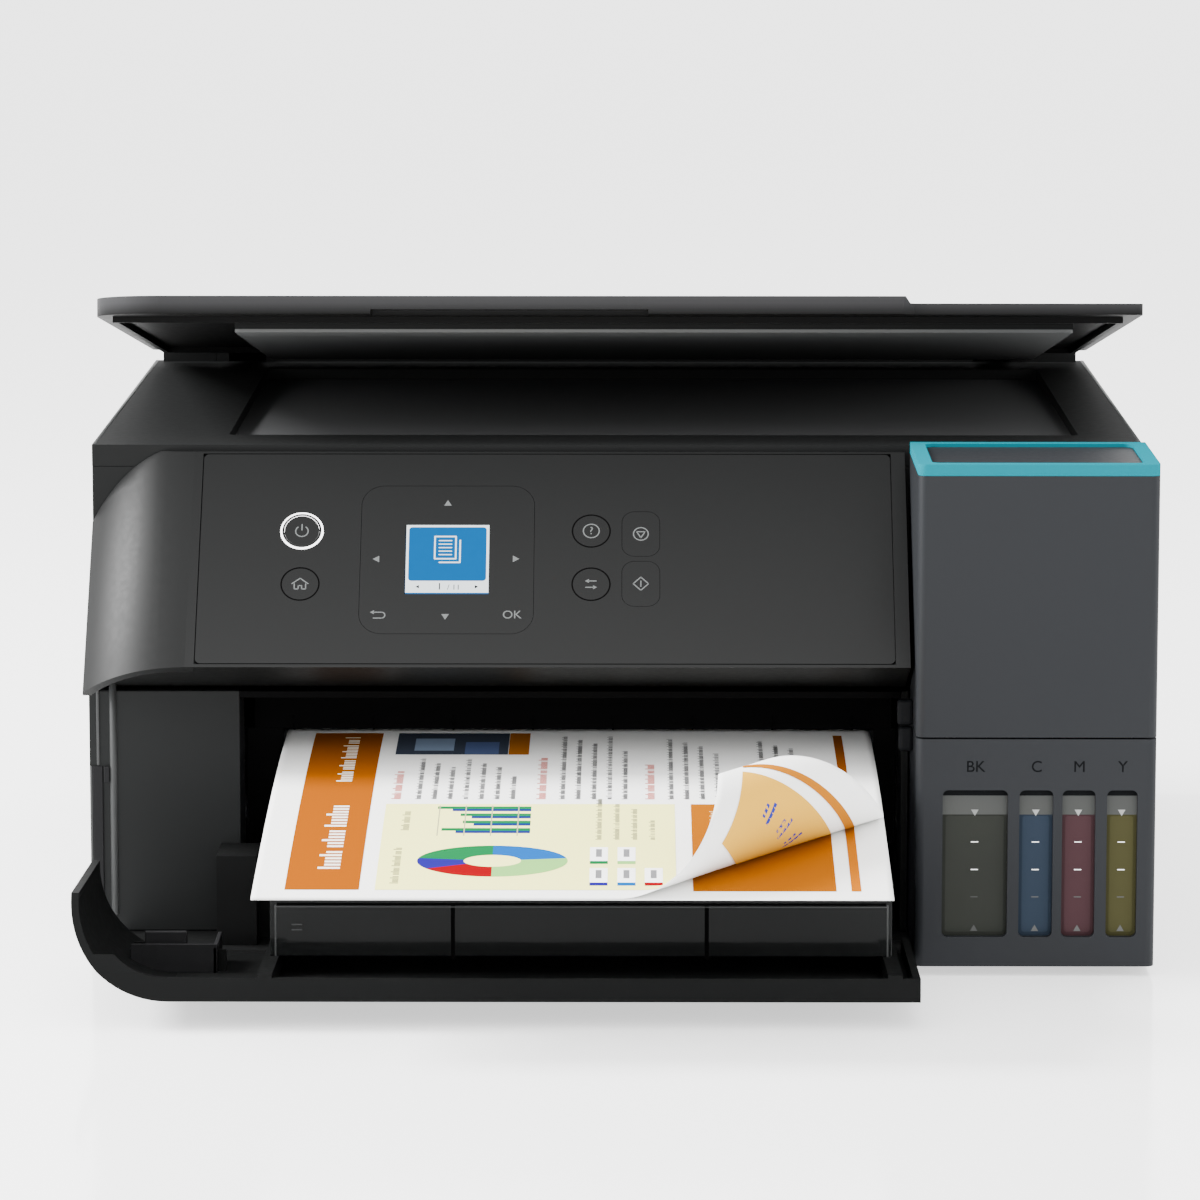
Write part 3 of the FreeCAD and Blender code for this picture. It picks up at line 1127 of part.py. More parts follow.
cover_top = prism(
    "tank_cover_top", "Z", "trim_low - rest_gap", "tank_height - trim_sink",
    rounded(("tank_left + trim_inset + rest_gap", "right - trim_inset - rest_gap"),
            ("front + trim_inset + rest_gap", "front + tank_cover_depth - trim_inset - rest_gap"),
            "tank_round - rest_gap"),
)
cover_room = box(
    "tank_cover_room", ("tank_left + wall", "right - wall"),
    ("front + wall", over("front + tank_cover_depth")),
    ("tank_split", "trim_low - tank_roof"),
)
bosses = [
    rod(f"tank_boss_{side}", "X", low, high, ("tank_hinge_y", "tank_axis_z"), "tank_pin_radius")
    for side, low, high in (("left", "tank_left + wall / 2", "tank_left + wall + tank_boss"),
                            ("right", "right - wall - tank_boss", "right - wall / 2"))
]
keep("tank_cover", fuse("tank_cover",
    cut("tank_cover_shell", fuse("tank_cover_blank", cover_body, cover_top),
                                          cover_room), *bosses))
keep("tank_cover_trim", prism("tank_cover_trim", "Z", "trim_low + rest_gap", "tank_height", cover_plan,
    trim_plan))

# Sheet-metal chassis with the carriage rail
metal_low = "floor_top + rest_gap"
chassis_items = [
    box("plate_left", ("chassis_x_left - plate_metal", "chassis_x_left"),
        ("front + chassis_front", "rail_back"), (metal_low, "chassis_top")),
    box("plate_tail", ("chassis_x_left - plate_metal", "chassis_x_left"),
        ("front + chassis_front", "front + pickup_y + pickup_radius"),
        (metal_low, "pickup_z + pickup_radius")),
    box("plate_mid", ("chassis_x_mid", "chassis_x_mid + plate_metal"),
        ("front + chassis_front", "front + feed_y + 2 * feed_radius"), (metal_low, "mid_step")),
    box("plate_mid_front", ("chassis_x_mid", "chassis_x_mid + plate_metal"),
        ("front + chassis_front", "front + eject_y + 2 * eject_radius"), (metal_low, "mid_top")),
    box("plate_right", ("chassis_x_right", "chassis_x_right + plate_metal"),
        ("front + rail_y - 3 * rail_flange", "belt_back + slip + plate_metal"), (metal_low, "chassis_top")),
    box("rail_web", ("chassis_x_left - plate_metal", "chassis_x_right + plate_metal"),
        ("front + rail_y", "rail_back"), ("rail_low", "chassis_top")),
    box("rail_top_flange", ("chassis_x_left - plate_metal", "chassis_x_right + plate_metal"),
        ("front + rail_y - rail_flange", "rail_back"), ("chassis_top - plate_metal", "chassis_top")),
    box("motor_tab", ("pulley_x_high - motor_radius", "chassis_x_right + plate_metal"),
        ("belt_back + slip", "belt_back + slip + plate_metal"),
        ("belt_z - motor_radius", "belt_z + motor_radius")),
    rod("idler_axle", "Y", "front + rail_y", "belt_back", ("pulley_x_low", "belt_z"), "axle_radius"),
]
ROLLERS = {"feed_roller": ("feed_y", "feed_z", "feed_radius"),
    "eject_roller": ("eject_y", "eject_z", "eject_radius")}
chassis_holes = [
    rod(f"{name}_hole", "X", "left", "chassis_x_mid + 2 * plate_metal", (f"front + {y}", z),
    "shaft_radius + pin_play")
    for name, (y, z, radius) in ROLLERS.items()
]
chassis_holes.append(rod(
    "pickup_hole", "X", "left", "chassis_x_left + plate_metal", ("front + pickup_y", "pickup_z"),
    "shaft_radius + pin_play",
))
chassis_holes.append(rod(
    "feed_motor_hole", "X", "left", "chassis_x_left + plate_metal",
    ("front + feed_motor_y", "feed_motor_z"),
    "2 * axle_radius",
))
chassis_holes.append(rod(
    "carriage_motor_hole", "Y", "belt_back", over("belt_back + slip + plate_metal"),
    ("pulley_x_high", "belt_z"),
    "2 * axle_radius",
))
keep("chassis", cut("chassis", fuse("chassis_blank", *chassis_items), *chassis_holes))

# Carriage, print head and the carriage drive
carriage_top = "chassis_top - plate_metal - slip"
carriage_span = ("carriage_x - carriage_width / 2", "carriage_x + carriage_width / 2")
carriage_solid = box(
    "carriage_solid", carriage_span, ("front + carriage_front", "front + rail_y - slip"),
    ("carriage_low", carriage_top)
)
carriage_room = box(
    "carriage_room", (f"{carriage_span[0]} + wall", f"{carriage_span[1]} - wall"),
    ("front + carriage_front + wall", "front + rail_y - rail_flange - 3 * slip - 2 * wall"),
    ("carriage_low + wall", over(carriage_top)),
)
arm_x = ("carriage_x - arm_width / 2", "carriage_x + arm_width / 2")
arm_front = "front + rail_y - rail_flange - slip"
arm_rise = ("chassis_top + slip", "chassis_top + slip + arm_thick")
carriage_arm = [
    box("arm_riser", arm_x, (f"{arm_front} - 2 * wall", arm_front),
    (f"{carriage_top} - 2 * wall", arm_rise[1])),
    box("arm_bridge", arm_x, (f"{arm_front} - 2 * wall", "belt_back"), arm_rise),
    box("arm_clamp", arm_x, ("belt_front", "belt_back"),
    ("belt_z + pulley_radius + belt_thick + rest_gap", arm_rise[1])),
]
keep("carriage", fuse("carriage", cut("carriage_tub", carriage_solid, carriage_room), *carriage_arm))
keep("print_head", box(
    "print_head", ("carriage_x - head_width / 2", "carriage_x + head_width / 2"),
    ("front + head_front", "front + head_back"), ("head_low", "carriage_low - rest_gap"),
))


def belt_loop(name, radius):
    """Fill the outline of the carriage belt out to a radius round both pulleys."""
    span = ("belt_front", "belt_back")
    return fuse(
        f"{name}_fill", box(f"{name}_run", ("pulley_x_low", "pulley_x_high"), span,
                            (f"belt_z - ({radius})", f"belt_z + {radius}")),
        rod(f"{name}_low", "Y", *span, ("pulley_x_low", "belt_z"), radius),
        rod(f"{name}_high", "Y", *span, ("pulley_x_high", "belt_z"), radius),
    )


carriage_belt = cut(
    "carriage_belt", belt_loop("belt_outer", "pulley_radius + belt_thick"),
    belt_loop("belt_inner", "pulley_radius")
)
pulley_span = ("belt_front + rest_gap", "belt_back - rest_gap")
motor_front = "belt_back + slip + plate_metal + rest_gap"
keep("drive_pulley", fuse(
    "drive_pulley", rod("drive_wheel", "Y", *pulley_span, ("pulley_x_high", "belt_z"),
    "pulley_radius - pin_play"),
    rod("drive_shaft", "Y", pulley_span[0], f"{motor_front} + motor_radius", ("pulley_x_high", "belt_z"),
    "axle_radius"),
))
keep("idler_pulley", cut(
    "idler_pulley", rod("idler_wheel", "Y", *pulley_span, ("pulley_x_low", "belt_z"),
    "pulley_radius - pin_play"),
    rod("idler_bore", "Y", "belt_front", "belt_back", ("pulley_x_low", "belt_z"), "axle_radius + pin_play"),
))
keep("carriage_motor", cut(
    "carriage_motor",
    rod("carriage_motor_can", "Y", motor_front, f"{motor_front} + motor_long", ("pulley_x_high", "belt_z"),
        "motor_radius"),
    rod("carriage_motor_bore", "Y", "belt_back", f"{motor_front} + motor_radius + slip",
    ("pulley_x_high", "belt_z"),
        "axle_radius + pin_play"),
))

# Paper path: platen, rollers, their belt and motor, and pickup roller
path_span = ("chassis_x_left + rest_gap", "chassis_x_mid - rest_gap")
platen_solid = box(
    "platen_solid", path_span, ("front + platen_front", "front + platen_back"),
    ("platen_top - platen_thick", "platen_top")
)
platen_trough = box(
    "platen_trough", ("sheet_left", "path_right"), ("front + head_front", "front + head_back - 4 * wall"),
    ("platen_top - wall", over("platen_top")),
)
keep("platen", cut("platen", platen_solid, platen_trough))
pulley_x = ("feed_pulley_low", "feed_pulley_high")
for name, (y, z, radius) in ROLLERS.items():
    spot = (f"front + {y}", z)
    keep(name, fuse(
        name, rod(f"{name}_shaft", "X", pulley_x[0], "chassis_x_mid + 2 * plate_metal", spot,
        "shaft_radius"),
        rod(f"{name}_sleeve", "X", "chassis_x_left + slip", "chassis_x_mid - slip", spot, radius),
        rod(f"{name}_pulley", "X", *pulley_x, spot, "feed_pulley_radius"),
    ))
motor_spot = ("front + feed_motor_y", "feed_motor_z")
motor_end = "chassis_x_left + rest_gap"
keep("motor_pulley", fuse(
    "motor_pulley", rod("motor_pulley_wheel", "X", *pulley_x, motor_spot, "feed_pulley_radius"),
    rod("motor_pulley_shaft", "X", pulley_x[0], f"{motor_end} + motor_radius", motor_spot, "axle_radius"),
))
keep("feed_motor", cut(
    "feed_motor", rod("feed_motor_can", "X", motor_end, "cassette_x_low - 4 * slip", motor_spot,
    "motor_radius"),
    rod("feed_motor_bore", "X", "chassis_x_left", f"{motor_end} + motor_radius + slip", motor_spot,
        "axle_radius + pin_play"),
))
belt_corners = [
    FreeCAD.Vector(number("feed_pulley_low"), number(f"front + {y}"), number(z))
    for y, z in (("feed_y", "feed_z"), ("eject_y", "eject_z"), ("feed_motor_y", "feed_motor_z"))
]
belt_line = Part.makePolygon(belt_corners + belt_corners[:1])
belt_faces = [
    Part.Face(Part.Wire(belt_line.makeOffset2D(number(radius)).Edges))
    for radius in ("feed_pulley_radius + rest_gap + belt_thick", "feed_pulley_radius + rest_gap")
]
feed_belt = doc.addObject("Part::Feature", "feed_belt")
feed_belt.Shape = belt_faces[0].cut(belt_faces[1]).extrude(FreeCAD.Vector(number("feed_belt_width"), 0,
    0)).Solids[0]
keep("drive_belts", group("drive_belts", carriage_belt, feed_belt))
pickup_spot = ("front + pickup_y", "pickup_z")
keep("pickup_roller", fuse(
    "pickup_roller",
    rod("pickup_shaft", "X", "chassis_x_left - plate_metal", "cassette_mid + pickup_width", pickup_spot,
        "shaft_radius"),
    rod("pickup_tyre", "X", "cassette_mid - pickup_width / 2", "cassette_mid + pickup_width / 2",
    pickup_spot,
        "pickup_radius"),
))

# Capping station on its waste-ink box, main board and power supply
waste_span = ("chassis_x_mid + plate_metal + wall", "chassis_x_right - wall")
waste_box = box(
    "waste_box", waste_span, ("front + waste_front", "front + waste_back"), (metal_low, "waste_high")
)
station_solid = box(
    "station_solid", ("carriage_x - head_width / 2 - wall", "carriage_x + head_width / 2 + wall"),
    ("front + cap_station_front", "front + waste_back"), ("waste_high - wall", "cap_station_high + cap_lip")
)
station_room = box(
    "station_room", ("carriage_x - head_width / 2", "carriage_x + head_width / 2"),
    ("front + cap_station_front + wall", "front + waste_back - wall"),
    ("cap_station_high", over("cap_station_high + cap_lip")),
)
keep("capping_station", fuse("capping_station", cut("station_cup", station_solid, station_room), waste_box))
board_span = ("chassis_x_mid + board_x", "right - wall - 4 * slip")
board_depth = ("front + board_front", "front + board_front + board_long")
board_items = [box("main_board_plate", board_span, board_depth, ("board_z", "board_z + board_thick"))]
for index, (x_share, y_share, tall) in enumerate(((0.3, 0.35, 2.0), (0.7, 0.3, 3.0), (0.3, 0.75, 8.0),
    (0.75, 0.7, 5.0))):
    chip_x = f"{board_span[0]} + ({board_span[1]} - ({board_span[0]})) * {x_share}"
    chip_y = f"{board_depth[0]} + board_long * {y_share}"
    board_items.append(box(
        f"main_chip{index}", (f"{chip_x} - 2 * wall", f"{chip_x} + 2 * wall"),
        (f"{chip_y} - 2 * wall", f"{chip_y} + 2 * wall"), ("board_z", f"board_z + board_thick + {tall}"),
    ))
    foot_x = f"{board_span[0]} + wall" if index % 2 else f"{board_span[1]} - wall"
    foot_y = f"{board_depth[0]} + wall" if index < 2 else f"{board_depth[1]} - wall"
    board_items.append(rod(f"main_spacer{index}", "Z", metal_low, over("board_z"), (foot_x, foot_y),
        "wall"))
keep("main_board", fuse("main_board", *board_items))
supply_solid = box(
    "supply_solid", ("supply_low", "chassis_x_left - plate_metal - slip"),
    ("front + supply_front", "front + supply_back"),
    (metal_low, "supply_high"),
)
keep("power_supply", supply_solid)

# Check every object, then write one file for each sub-part
doc.recompute()
for item in doc.Objects:
    if any(state in ("Invalid", "Error") for state in item.State):
        raise RuntimeError(f"{item.Name} did not rebuild: {item.State}")
os.makedirs("parts", exist_ok=True)
for item in subparts:
    if item.Shape.isNull() or not item.Shape.isValid():
        raise RuntimeError(f"{item.Label} has no valid shape")
    item.Shape.exportStep(os.path.join("parts", f"{item.Label}.step"))
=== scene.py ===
"""Dressed model of a desktop ink tank printer with a flatbed scanner and a sheet coming out."""

import logging
import math
from dataclasses import dataclass
from enum import Enum
from typing import Callable, Dict, List, Sequence, Tuple

import bmesh
import bpy
from bmesh.types import BMesh
from bpy.types import Material, Object
from mathutils import Matrix, Vector


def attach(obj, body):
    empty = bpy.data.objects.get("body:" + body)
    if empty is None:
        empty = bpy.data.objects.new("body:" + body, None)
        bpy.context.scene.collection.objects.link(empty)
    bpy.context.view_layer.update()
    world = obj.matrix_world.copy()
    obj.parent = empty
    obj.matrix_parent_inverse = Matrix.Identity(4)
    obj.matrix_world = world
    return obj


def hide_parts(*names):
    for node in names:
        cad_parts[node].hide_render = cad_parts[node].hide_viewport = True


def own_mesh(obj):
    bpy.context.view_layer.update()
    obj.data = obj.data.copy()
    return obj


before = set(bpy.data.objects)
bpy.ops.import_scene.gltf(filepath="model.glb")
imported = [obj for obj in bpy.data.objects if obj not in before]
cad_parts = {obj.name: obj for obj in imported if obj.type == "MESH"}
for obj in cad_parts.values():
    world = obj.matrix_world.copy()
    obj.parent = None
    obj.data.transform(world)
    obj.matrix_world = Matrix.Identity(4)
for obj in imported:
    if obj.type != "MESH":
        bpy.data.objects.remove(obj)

LOG = logging.getLogger("printer")
MM = 0.001
FRONT = -118.5
Colour = Tuple[float, float, float]
Spot = Tuple[float, float]
Place = Tuple[float, float, float]
Box = Tuple[Spot, Spot, Spot]


def screen_colour(red: float, green: float, blue: float) -> Colour:
    """Turns a screen's colour, each share 0 to 255, into a linear one with shares of 0 to 1."""
    shares = [value / 255.0 for value in (red, green, blue)]
    return tuple(s / 12.92 if s <= 0.04045 else ((s + 0.055) / 1.055) ** 2.4 for s in shares)


def around(middle: Spot, half: Spot) -> Tuple[Spot, Spot]:
    """Returns the lower left and the upper right corner of a rectangle round a middle."""
    return (middle[0] - half[0], middle[1] - half[1]), (middle[0] + half[0], middle[1] + half[1])


def paler(colour: Colour, share: float) -> Colour:
    """Scales a colour's brightness by a share."""
    return tuple(min(1.0, value * share) for value in colour)


class Grain(Enum):
    """Size of a moulded surface's grain, in bumps to the metre."""

    FINE = 2600.0
    MEDIUM = 1500.0
    COARSE = 700.0


class NodeTree:
    """Node tree of one finish, with short calls for the nodes used here."""

    def __init__(self, name: str) -> None:
        """Starts a material with its shader and its object coordinates.

        Args:
            name: Name of the material.
        """
        self.material = bpy.data.materials.new(name)
        self.material.use_nodes = True
        self.tree = self.material.node_tree
        self.shader = self.tree.nodes["Principled BSDF"]
        self.place = self.tree.nodes.new("ShaderNodeTexCoord").outputs["Object"]

    def put(self, socket: str, value: object) -> None:
        """Sets one socket of the shader to a plain value."""
        self.shader.inputs[socket].default_value = value

    def link(self, source: object, socket: str) -> None:
        """Joins an output to one socket of the shader."""
        self.tree.links.new(source, self.shader.inputs[socket])

    def add(self, kind: str, values: Dict[object, object], links: Dict[object, object]) -> object:
        """Adds a node.

        Args:
            kind: Type of the node.
            values: Plain values of its inputs.
            links: Outputs that its inputs are joined to.

        Returns:
            The node.
        """
        node = self.tree.nodes.new(kind)
        for socket, value in values.items():
            node.inputs[socket].default_value = value
        for socket, source in links.items():
            self.tree.links.new(source, node.inputs[socket])
        return node

    def part(self, axis: str) -> object:
        """Returns the place along one axis of the object, in metres."""
        return self.add("ShaderNodeSeparateXYZ", {}, {"Vector": self.place}).outputs[axis]

    def noise(self, scale: float, detail: float = 2.0, stretch: Place = (1.0, 1.0, 1.0)) -> object:
        """Adds a cloudy pattern.

        Args:
            scale: Clouds to the metre.
            detail: Number of finer layers.
            stretch: How much the pattern is squeezed along X, Y and Z.

        Returns:
            The pattern's output, 0 to 1.
        """
        mapping = self.add("ShaderNodeMapping", {"Scale": stretch}, {"Vector": self.place})
        place = mapping.outputs["Vector"]
        node = self.add("ShaderNodeTexNoise", {"Scale": scale, "Detail": detail}, {"Vector": place})
        return node.outputs["Fac"]

    def spread(self, source: object, low: float, high: float, span: Spot = (0.3, 0.7)) -> object:
        """Maps a span of a pattern, by default its middle part, to the values from low to high."""
        values = {"From Min": span[0], "From Max": span[1], "To Min": low, "To Max": high}
        return self.add("ShaderNodeMapRange", values, {"Value": source}).outputs["Result"]

    def tint(self, share: object, first: Colour, second: Colour) -> object:
        """Mixes two colours by a pattern.

        Args:
            share: Pattern that gives the second colour's share.
            first: First colour.
            second: Second colour.

        Returns:
            The mix.
        """
        node = self.tree.nodes.new("ShaderNodeMix")
        node.data_type = "RGBA"
        node.inputs[6].default_value = (*first, 1.0)
        node.inputs[7].default_value = (*second, 1.0)
        self.tree.links.new(share, node.inputs[0])
        return node.outputs[2]

    def relief(self, height: object, strength: float, depth: float) -> None:
        """Gives the surface the relief of a pattern, with its depth in millimetres."""
        values = {"Strength": strength, "Distance": depth * MM}
        self.link(self.add("ShaderNodeBump", values, {"Height": height}).outputs["Normal"], "Normal")


@dataclass(frozen=True)
class Finish:
    """Any finish: a name and a colour, made into a material once."""

    name: str
    colour: Colour

    def material(self) -> Material:
        """Returns this finish's material, made at its first use."""
        title = f"finish_{self.name}"
        if title not in bpy.data.materials:
            self.fill(NodeTree(title))
        return bpy.data.materials[title]

    def fill(self, nodes: NodeTree) -> None:
        """Fills the node tree of the finish's material."""
        nodes.put("Base Color", (*self.colour, 1.0))

    def uneven(self, nodes: NodeTree, pattern: object, low: float, high: float) -> None:
        """Varies the colour by a pattern, between two shares of its brightness."""
        nodes.link(nodes.tint(pattern, paler(self.colour, low), paler(self.colour, high)), "Base Color")


@dataclass(frozen=True)
class MouldedPlastic(Finish):
    """Satin moulded plastic with a fine grain and slightly uneven colour."""

    roughness: float = 0.42
    grain: Grain = Grain.FINE
    relief: float = 0.12
    shine: float = 0.3
    clouds: float = 14.0
    patchy: float = 0.03
    mottle: float = 420.0
    depth: float = 0.05

    def fill(self, nodes: NodeTree) -> None:
        """Fills a node tree.

        Args:
            nodes: Tree of the finish's material.
        """
        self.uneven(nodes, nodes.noise(self.clouds, 3.0), 1.0 - self.patchy, 1.0 + self.patchy)
        mottle = nodes.noise(self.mottle, 3.0)
        nodes.link(nodes.spread(mottle, self.roughness - 0.02, self.roughness + 0.03), "Roughness")
        nodes.put("Specular IOR Level", self.shine)
        nodes.relief(nodes.noise(self.grain.value), self.relief, self.depth)


@dataclass(frozen=True)
class ShadedPlastic(MouldedPlastic):
    """Moulded plastic with a painted sheen that shines less towards its top, between two heights in metres.
    """

    low: float = 0.1
    high: float = 0.176
    top_shine: float = 0.05

    def fill(self, nodes: NodeTree) -> None:
        """Fills a node tree.

        Args:
            nodes: Tree of the finish's material.
        """
        super().fill(nodes)
        # Painted sheen: the shine fades with height to stand in for how the studio light falls on the
        # slanted panel.
        fade = nodes.spread(nodes.part("Z"), self.shine, self.top_shine, (self.low, self.high))
        nodes.link(fade, "Specular IOR Level")


@dataclass(frozen=True)
class ShadeRampPlastic(MouldedPlastic):
    """Moulded plastic with near-black painted shade below a slanted border and a painted highlight that
    brightens towards its top, given in degrees and metres.
    """

    under: Colour = (0.005, 0.005, 0.005)
    slope: float = 9.0
    border: float = 0.2150
    top: float = 0.2211
    blend: float = 0.0001
    low_share: float = 0.7
    top_share: float = 1.1

    def fill(self, nodes: NodeTree) -> None:
        """Fills a node tree.

        Args:
            nodes: Tree of the finish's material.
        """
        super().fill(nodes)
        angle = math.radians(self.slope)
        upward = (0.0, math.sin(angle), math.cos(angle))
        rise = nodes.add("ShaderNodeVectorMath", {1: upward}, {0: nodes.place})
        rise.operation = "DOT_PRODUCT"
        # Painted shade below the border, where the lid's underside lies in shadow, then a painted highlight
        # from 0.7 to 1.1 of the colour up to the top.
        ramp = nodes.add("ShaderNodeValToRGB", {}, {"Fac": rise.outputs["Value"]})
        low, high = ramp.color_ramp.elements
        low.position = self.border
        low.color = (*paler(self.colour, self.low_share), 1.0)
        high.position = self.top
        high.color = (*paler(self.colour, self.top_share), 1.0)
        ramp.color_ramp.elements.new(self.border - self.blend).color = (*self.under, 1.0)
        nodes.link(ramp.outputs["Color"], "Base Color")


@dataclass(frozen=True)
class ClearPlastic(Finish):
    """Clear or smoky plastic that light passes through."""

    roughness: float = 0.06
    passing: float = 0.9
    index: float = 1.49

    def fill(self, nodes: NodeTree) -> None:
        """Fills a node tree.

        Args:
            nodes: Tree of the finish's material.
        """
        super().fill(nodes)
        nodes.put("Transmission Weight", self.passing)
        nodes.put("IOR", self.index)
        haze = nodes.noise(60.0, 3.0)
        nodes.link(nodes.spread(haze, self.roughness * 0.8, self.roughness * 1.3), "Roughness")
        nodes.relief(nodes.noise(35.0, 1.0), 0.05, 0.05)


@dataclass(frozen=True)
class Metal(Finish):
    """Plated or ground metal with a faint drawn grain."""

    roughness: float = 0.32
    drawn: Place = (0.05, 1.0, 1.0)

    def fill(self, nodes: NodeTree) -> None:
        """Fills a node tree.

        Args:
            nodes: Tree of the finish's material.
        """
        lines = nodes.noise(900.0, 3.0, self.drawn)
        nodes.put("Metallic", 1.0)
        self.uneven(nodes, lines, 0.85, 1.1)
        nodes.link(nodes.spread(lines, self.roughness - 0.06, self.roughness + 0.1), "Roughness")
        nodes.relief(lines, 0.06, 0.02)


@dataclass(frozen=True)
class Rubber(Finish):
    """Dull rubber with a dusty bloom."""

    def fill(self, nodes: NodeTree) -> None:
        """Fills a node tree.

        Args:
            nodes: Tree of the finish's material.
        """
        self.uneven(nodes, nodes.noise(120.0, 4.0), 0.8, 1.3)
        nodes.put("Roughness", 0.78)
        nodes.relief(nodes.noise(1400.0, 2.0), 0.2, 0.05)


@dataclass(frozen=True)
class Glow(Finish):
    """A lit face, such as a screen or a light ring."""

    strength: float = 1.0

    def fill(self, nodes: NodeTree) -> None:
        """Fills a node tree.

        Args:
            nodes: Tree of the finish's material.
        """
        self.uneven(nodes, nodes.noise(300.0), 0.06, 0.08)
        nodes.put("Emission Color", (*self.colour, 1.0))
        nodes.put("Emission Strength", self.strength)
        nodes.put("Roughness", 0.5)
        nodes.put("Specular IOR Level", 0.0)


@dataclass(frozen=True)
class Paper(Finish):
    """Plain office paper with a faint fibre."""

    def fill(self, nodes: NodeTree) -> None:
        """Fills a node tree.

        Args:
            nodes: Tree of the finish's material.
        """
        fibre = nodes.noise(700.0, 5.0, (1.0, 0.4, 1.0))
        self.uneven(nodes, fibre, 0.965, 1.0)
        nodes.put("Roughness", 0.7)
        nodes.put("Specular IOR Level", 0.0)
        nodes.relief(fibre, 0.1, 0.02)


@dataclass(frozen=True)
class PrintedInk(Finish):
    """Ink printed on paper or plastic, coloured by the faces' own attribute."""

    roughness: float = 0.6

    def fill(self, nodes: NodeTree) -> None:
        """Fills a node tree.

        Args:
            nodes: Tree of the finish's material.
        """
        source = nodes.tree.nodes.new("ShaderNodeAttribute")
        source.attribute_name = "ink"
        nodes.link(source.outputs["Color"], "Base Color")
        nodes.put("Roughness", self.roughness)
        nodes.put("Specular IOR Level", 0.0)


@dataclass(frozen=True)
class BandedInk(Finish):
    """Liquid inks side by side, told apart by their place across the tank in metres."""

    inks: Tuple[Colour, ...] = ()
    borders: Tuple[float, ...] = (0.138, 0.1533, 0.1684)

    def fill(self, nodes: NodeTree) -> None:
        """Fills a node tree.

        Args:
            nodes: Tree of the finish's material.
        """
        ramp = nodes.add("ShaderNodeValToRGB", {}, {"Fac": nodes.part("X")})
        bands = ramp.color_ramp
        bands.interpolation = "CONSTANT"
        bands.elements.remove(bands.elements[1])
        bands.elements[0].color = (*self.inks[0], 1.0)
        for border, ink in zip(self.borders, self.inks[1:]):
            bands.elements.new(border).color = (*ink, 1.0)
        nodes.link(ramp.outputs["Color"], "Base Color")
        nodes.put("Roughness", 0.2)


CASE_BLACK = MouldedPlastic("case_black", screen_colour(17, 17.5, 17.5), 0.5, shine=0.06)
SCANNER_BLACK = MouldedPlastic("scanner_black", screen_colour(26, 26.5, 26.5), 0.6, shine=0.02)
COLUMN_BLACK = MouldedPlastic("column_black", screen_colour(26, 27, 27), 0.5, shine=0.08)
# Painted highlight: lighter grey for edge rods and lines that stand in for light caught by edges; it also
# colours the tray's outlined mark.
HIGHLIGHT_AND_MARK_GREY = MouldedPlastic("highlight_and_mark_grey", screen_colour(56, 57, 57), 0.45, shine=0.12)
COVER_BLACK = MouldedPlastic("cover_black", screen_colour(14, 14.5, 14.5), 0.5, shine=0.035)
# The lid carries painted shade on its underside and a painted highlight on its front edge.
LID_CHARCOAL = ShadeRampPlastic("lid_charcoal", screen_colour(44, 44, 45), 0.5, shine=0.04)
PANEL_GREY = ShadedPlastic("panel_grey", screen_colour(17, 17.5, 17.5), 0.42, Grain.FINE, 0.06, 0.12)
FASCIA_GREY = ShadedPlastic("fascia_grey", screen_colour(17, 17.5, 17.5), 0.42, Grain.FINE, 0.06, 0.12)
KEY_GREY = ShadedPlastic("key_grey", screen_colour(17, 17.5, 17.5), 0.4, Grain.FINE, 0.05, 0.12)
SEAM_BLACK = MouldedPlastic("seam_black", screen_colour(6, 6, 6), 0.8, shine=0.0)
TANK_SLATE = MouldedPlastic("tank_slate", screen_colour(29, 30.5, 33), 0.46, Grain.MEDIUM, 0.1, 0.1)
INNER_BLACK = MouldedPlastic("inner_black", screen_colour(6, 6, 6.5), 0.55, shine=0.02)
SMOKY_CLEAR = ClearPlastic("smoky_clear", screen_colour(27, 28, 28), 0.08, 0.4, 1.15)
TANK_CLEAR = ClearPlastic("tank_clear", screen_colour(205, 210, 210), 0.25, 0.7)
# Painted reflection: the dark glass is given a flat grey with no shine, standing in for the faint light it
# shows under the lid.
GLASS_REFLECTION_GREY = MouldedPlastic("bed_glass", screen_colour(76, 76.5, 77), 0.25, Grain.FINE, 0.0, 0.0)
MAT_WHITE = MouldedPlastic("mat_white", screen_colour(84, 85, 85), 0.75, Grain.COARSE, 0.1, 0.0)
TRIM_TEAL = MouldedPlastic("trim_teal", (0.0, 0.125, 0.16), 0.5, Grain.FINE, 0.03, 0.0)
RING_WHITE = Glow("ring_white", (1.0, 1.0, 1.0), 6.0)
SCREEN_BLUE = Glow("screen_blue", (0.0, 0.18, 0.54), 1.0)
SCREEN_WHITE = Glow("screen_white", (0.9, 0.97, 1.0), 2.0)
SIGN_WHITE = MouldedPlastic("sign_white", screen_colour(88, 90, 90), 0.6, shine=0.0)
PLATE_STEEL = Metal("plate_steel", screen_colour(150, 152, 154))
SHAFT_STEEL = Metal("shaft_steel", screen_colour(130, 130, 130), 0.28, (1.0, 0.05, 1.0))
DARK_STEEL = Metal("dark_steel", screen_colour(70, 70, 72), 0.4)
FOOT_RUBBER = Rubber("foot_rubber", screen_colour(22, 22, 22))
BELT_RUBBER = Rubber("belt_rubber", screen_colour(26, 26, 26))
ROLLER_RUBBER = Rubber("roller_rubber", screen_colour(40, 40, 42))
TUBE_RUBBER = Rubber("tube_rubber", screen_colour(100, 102, 105))
PULLEY_WHITE = MouldedPlastic("pulley_white", screen_colour(180, 178, 170), 0.4)
BOARD_GREEN = MouldedPlastic("board_green", screen_colour(20, 84, 44), 0.35)
PAGE_WHITE = Paper("page_white", screen_colour(240, 240, 238))
PRINT_INK = PrintedInk("print_ink", (1.0, 1.0, 1.0))
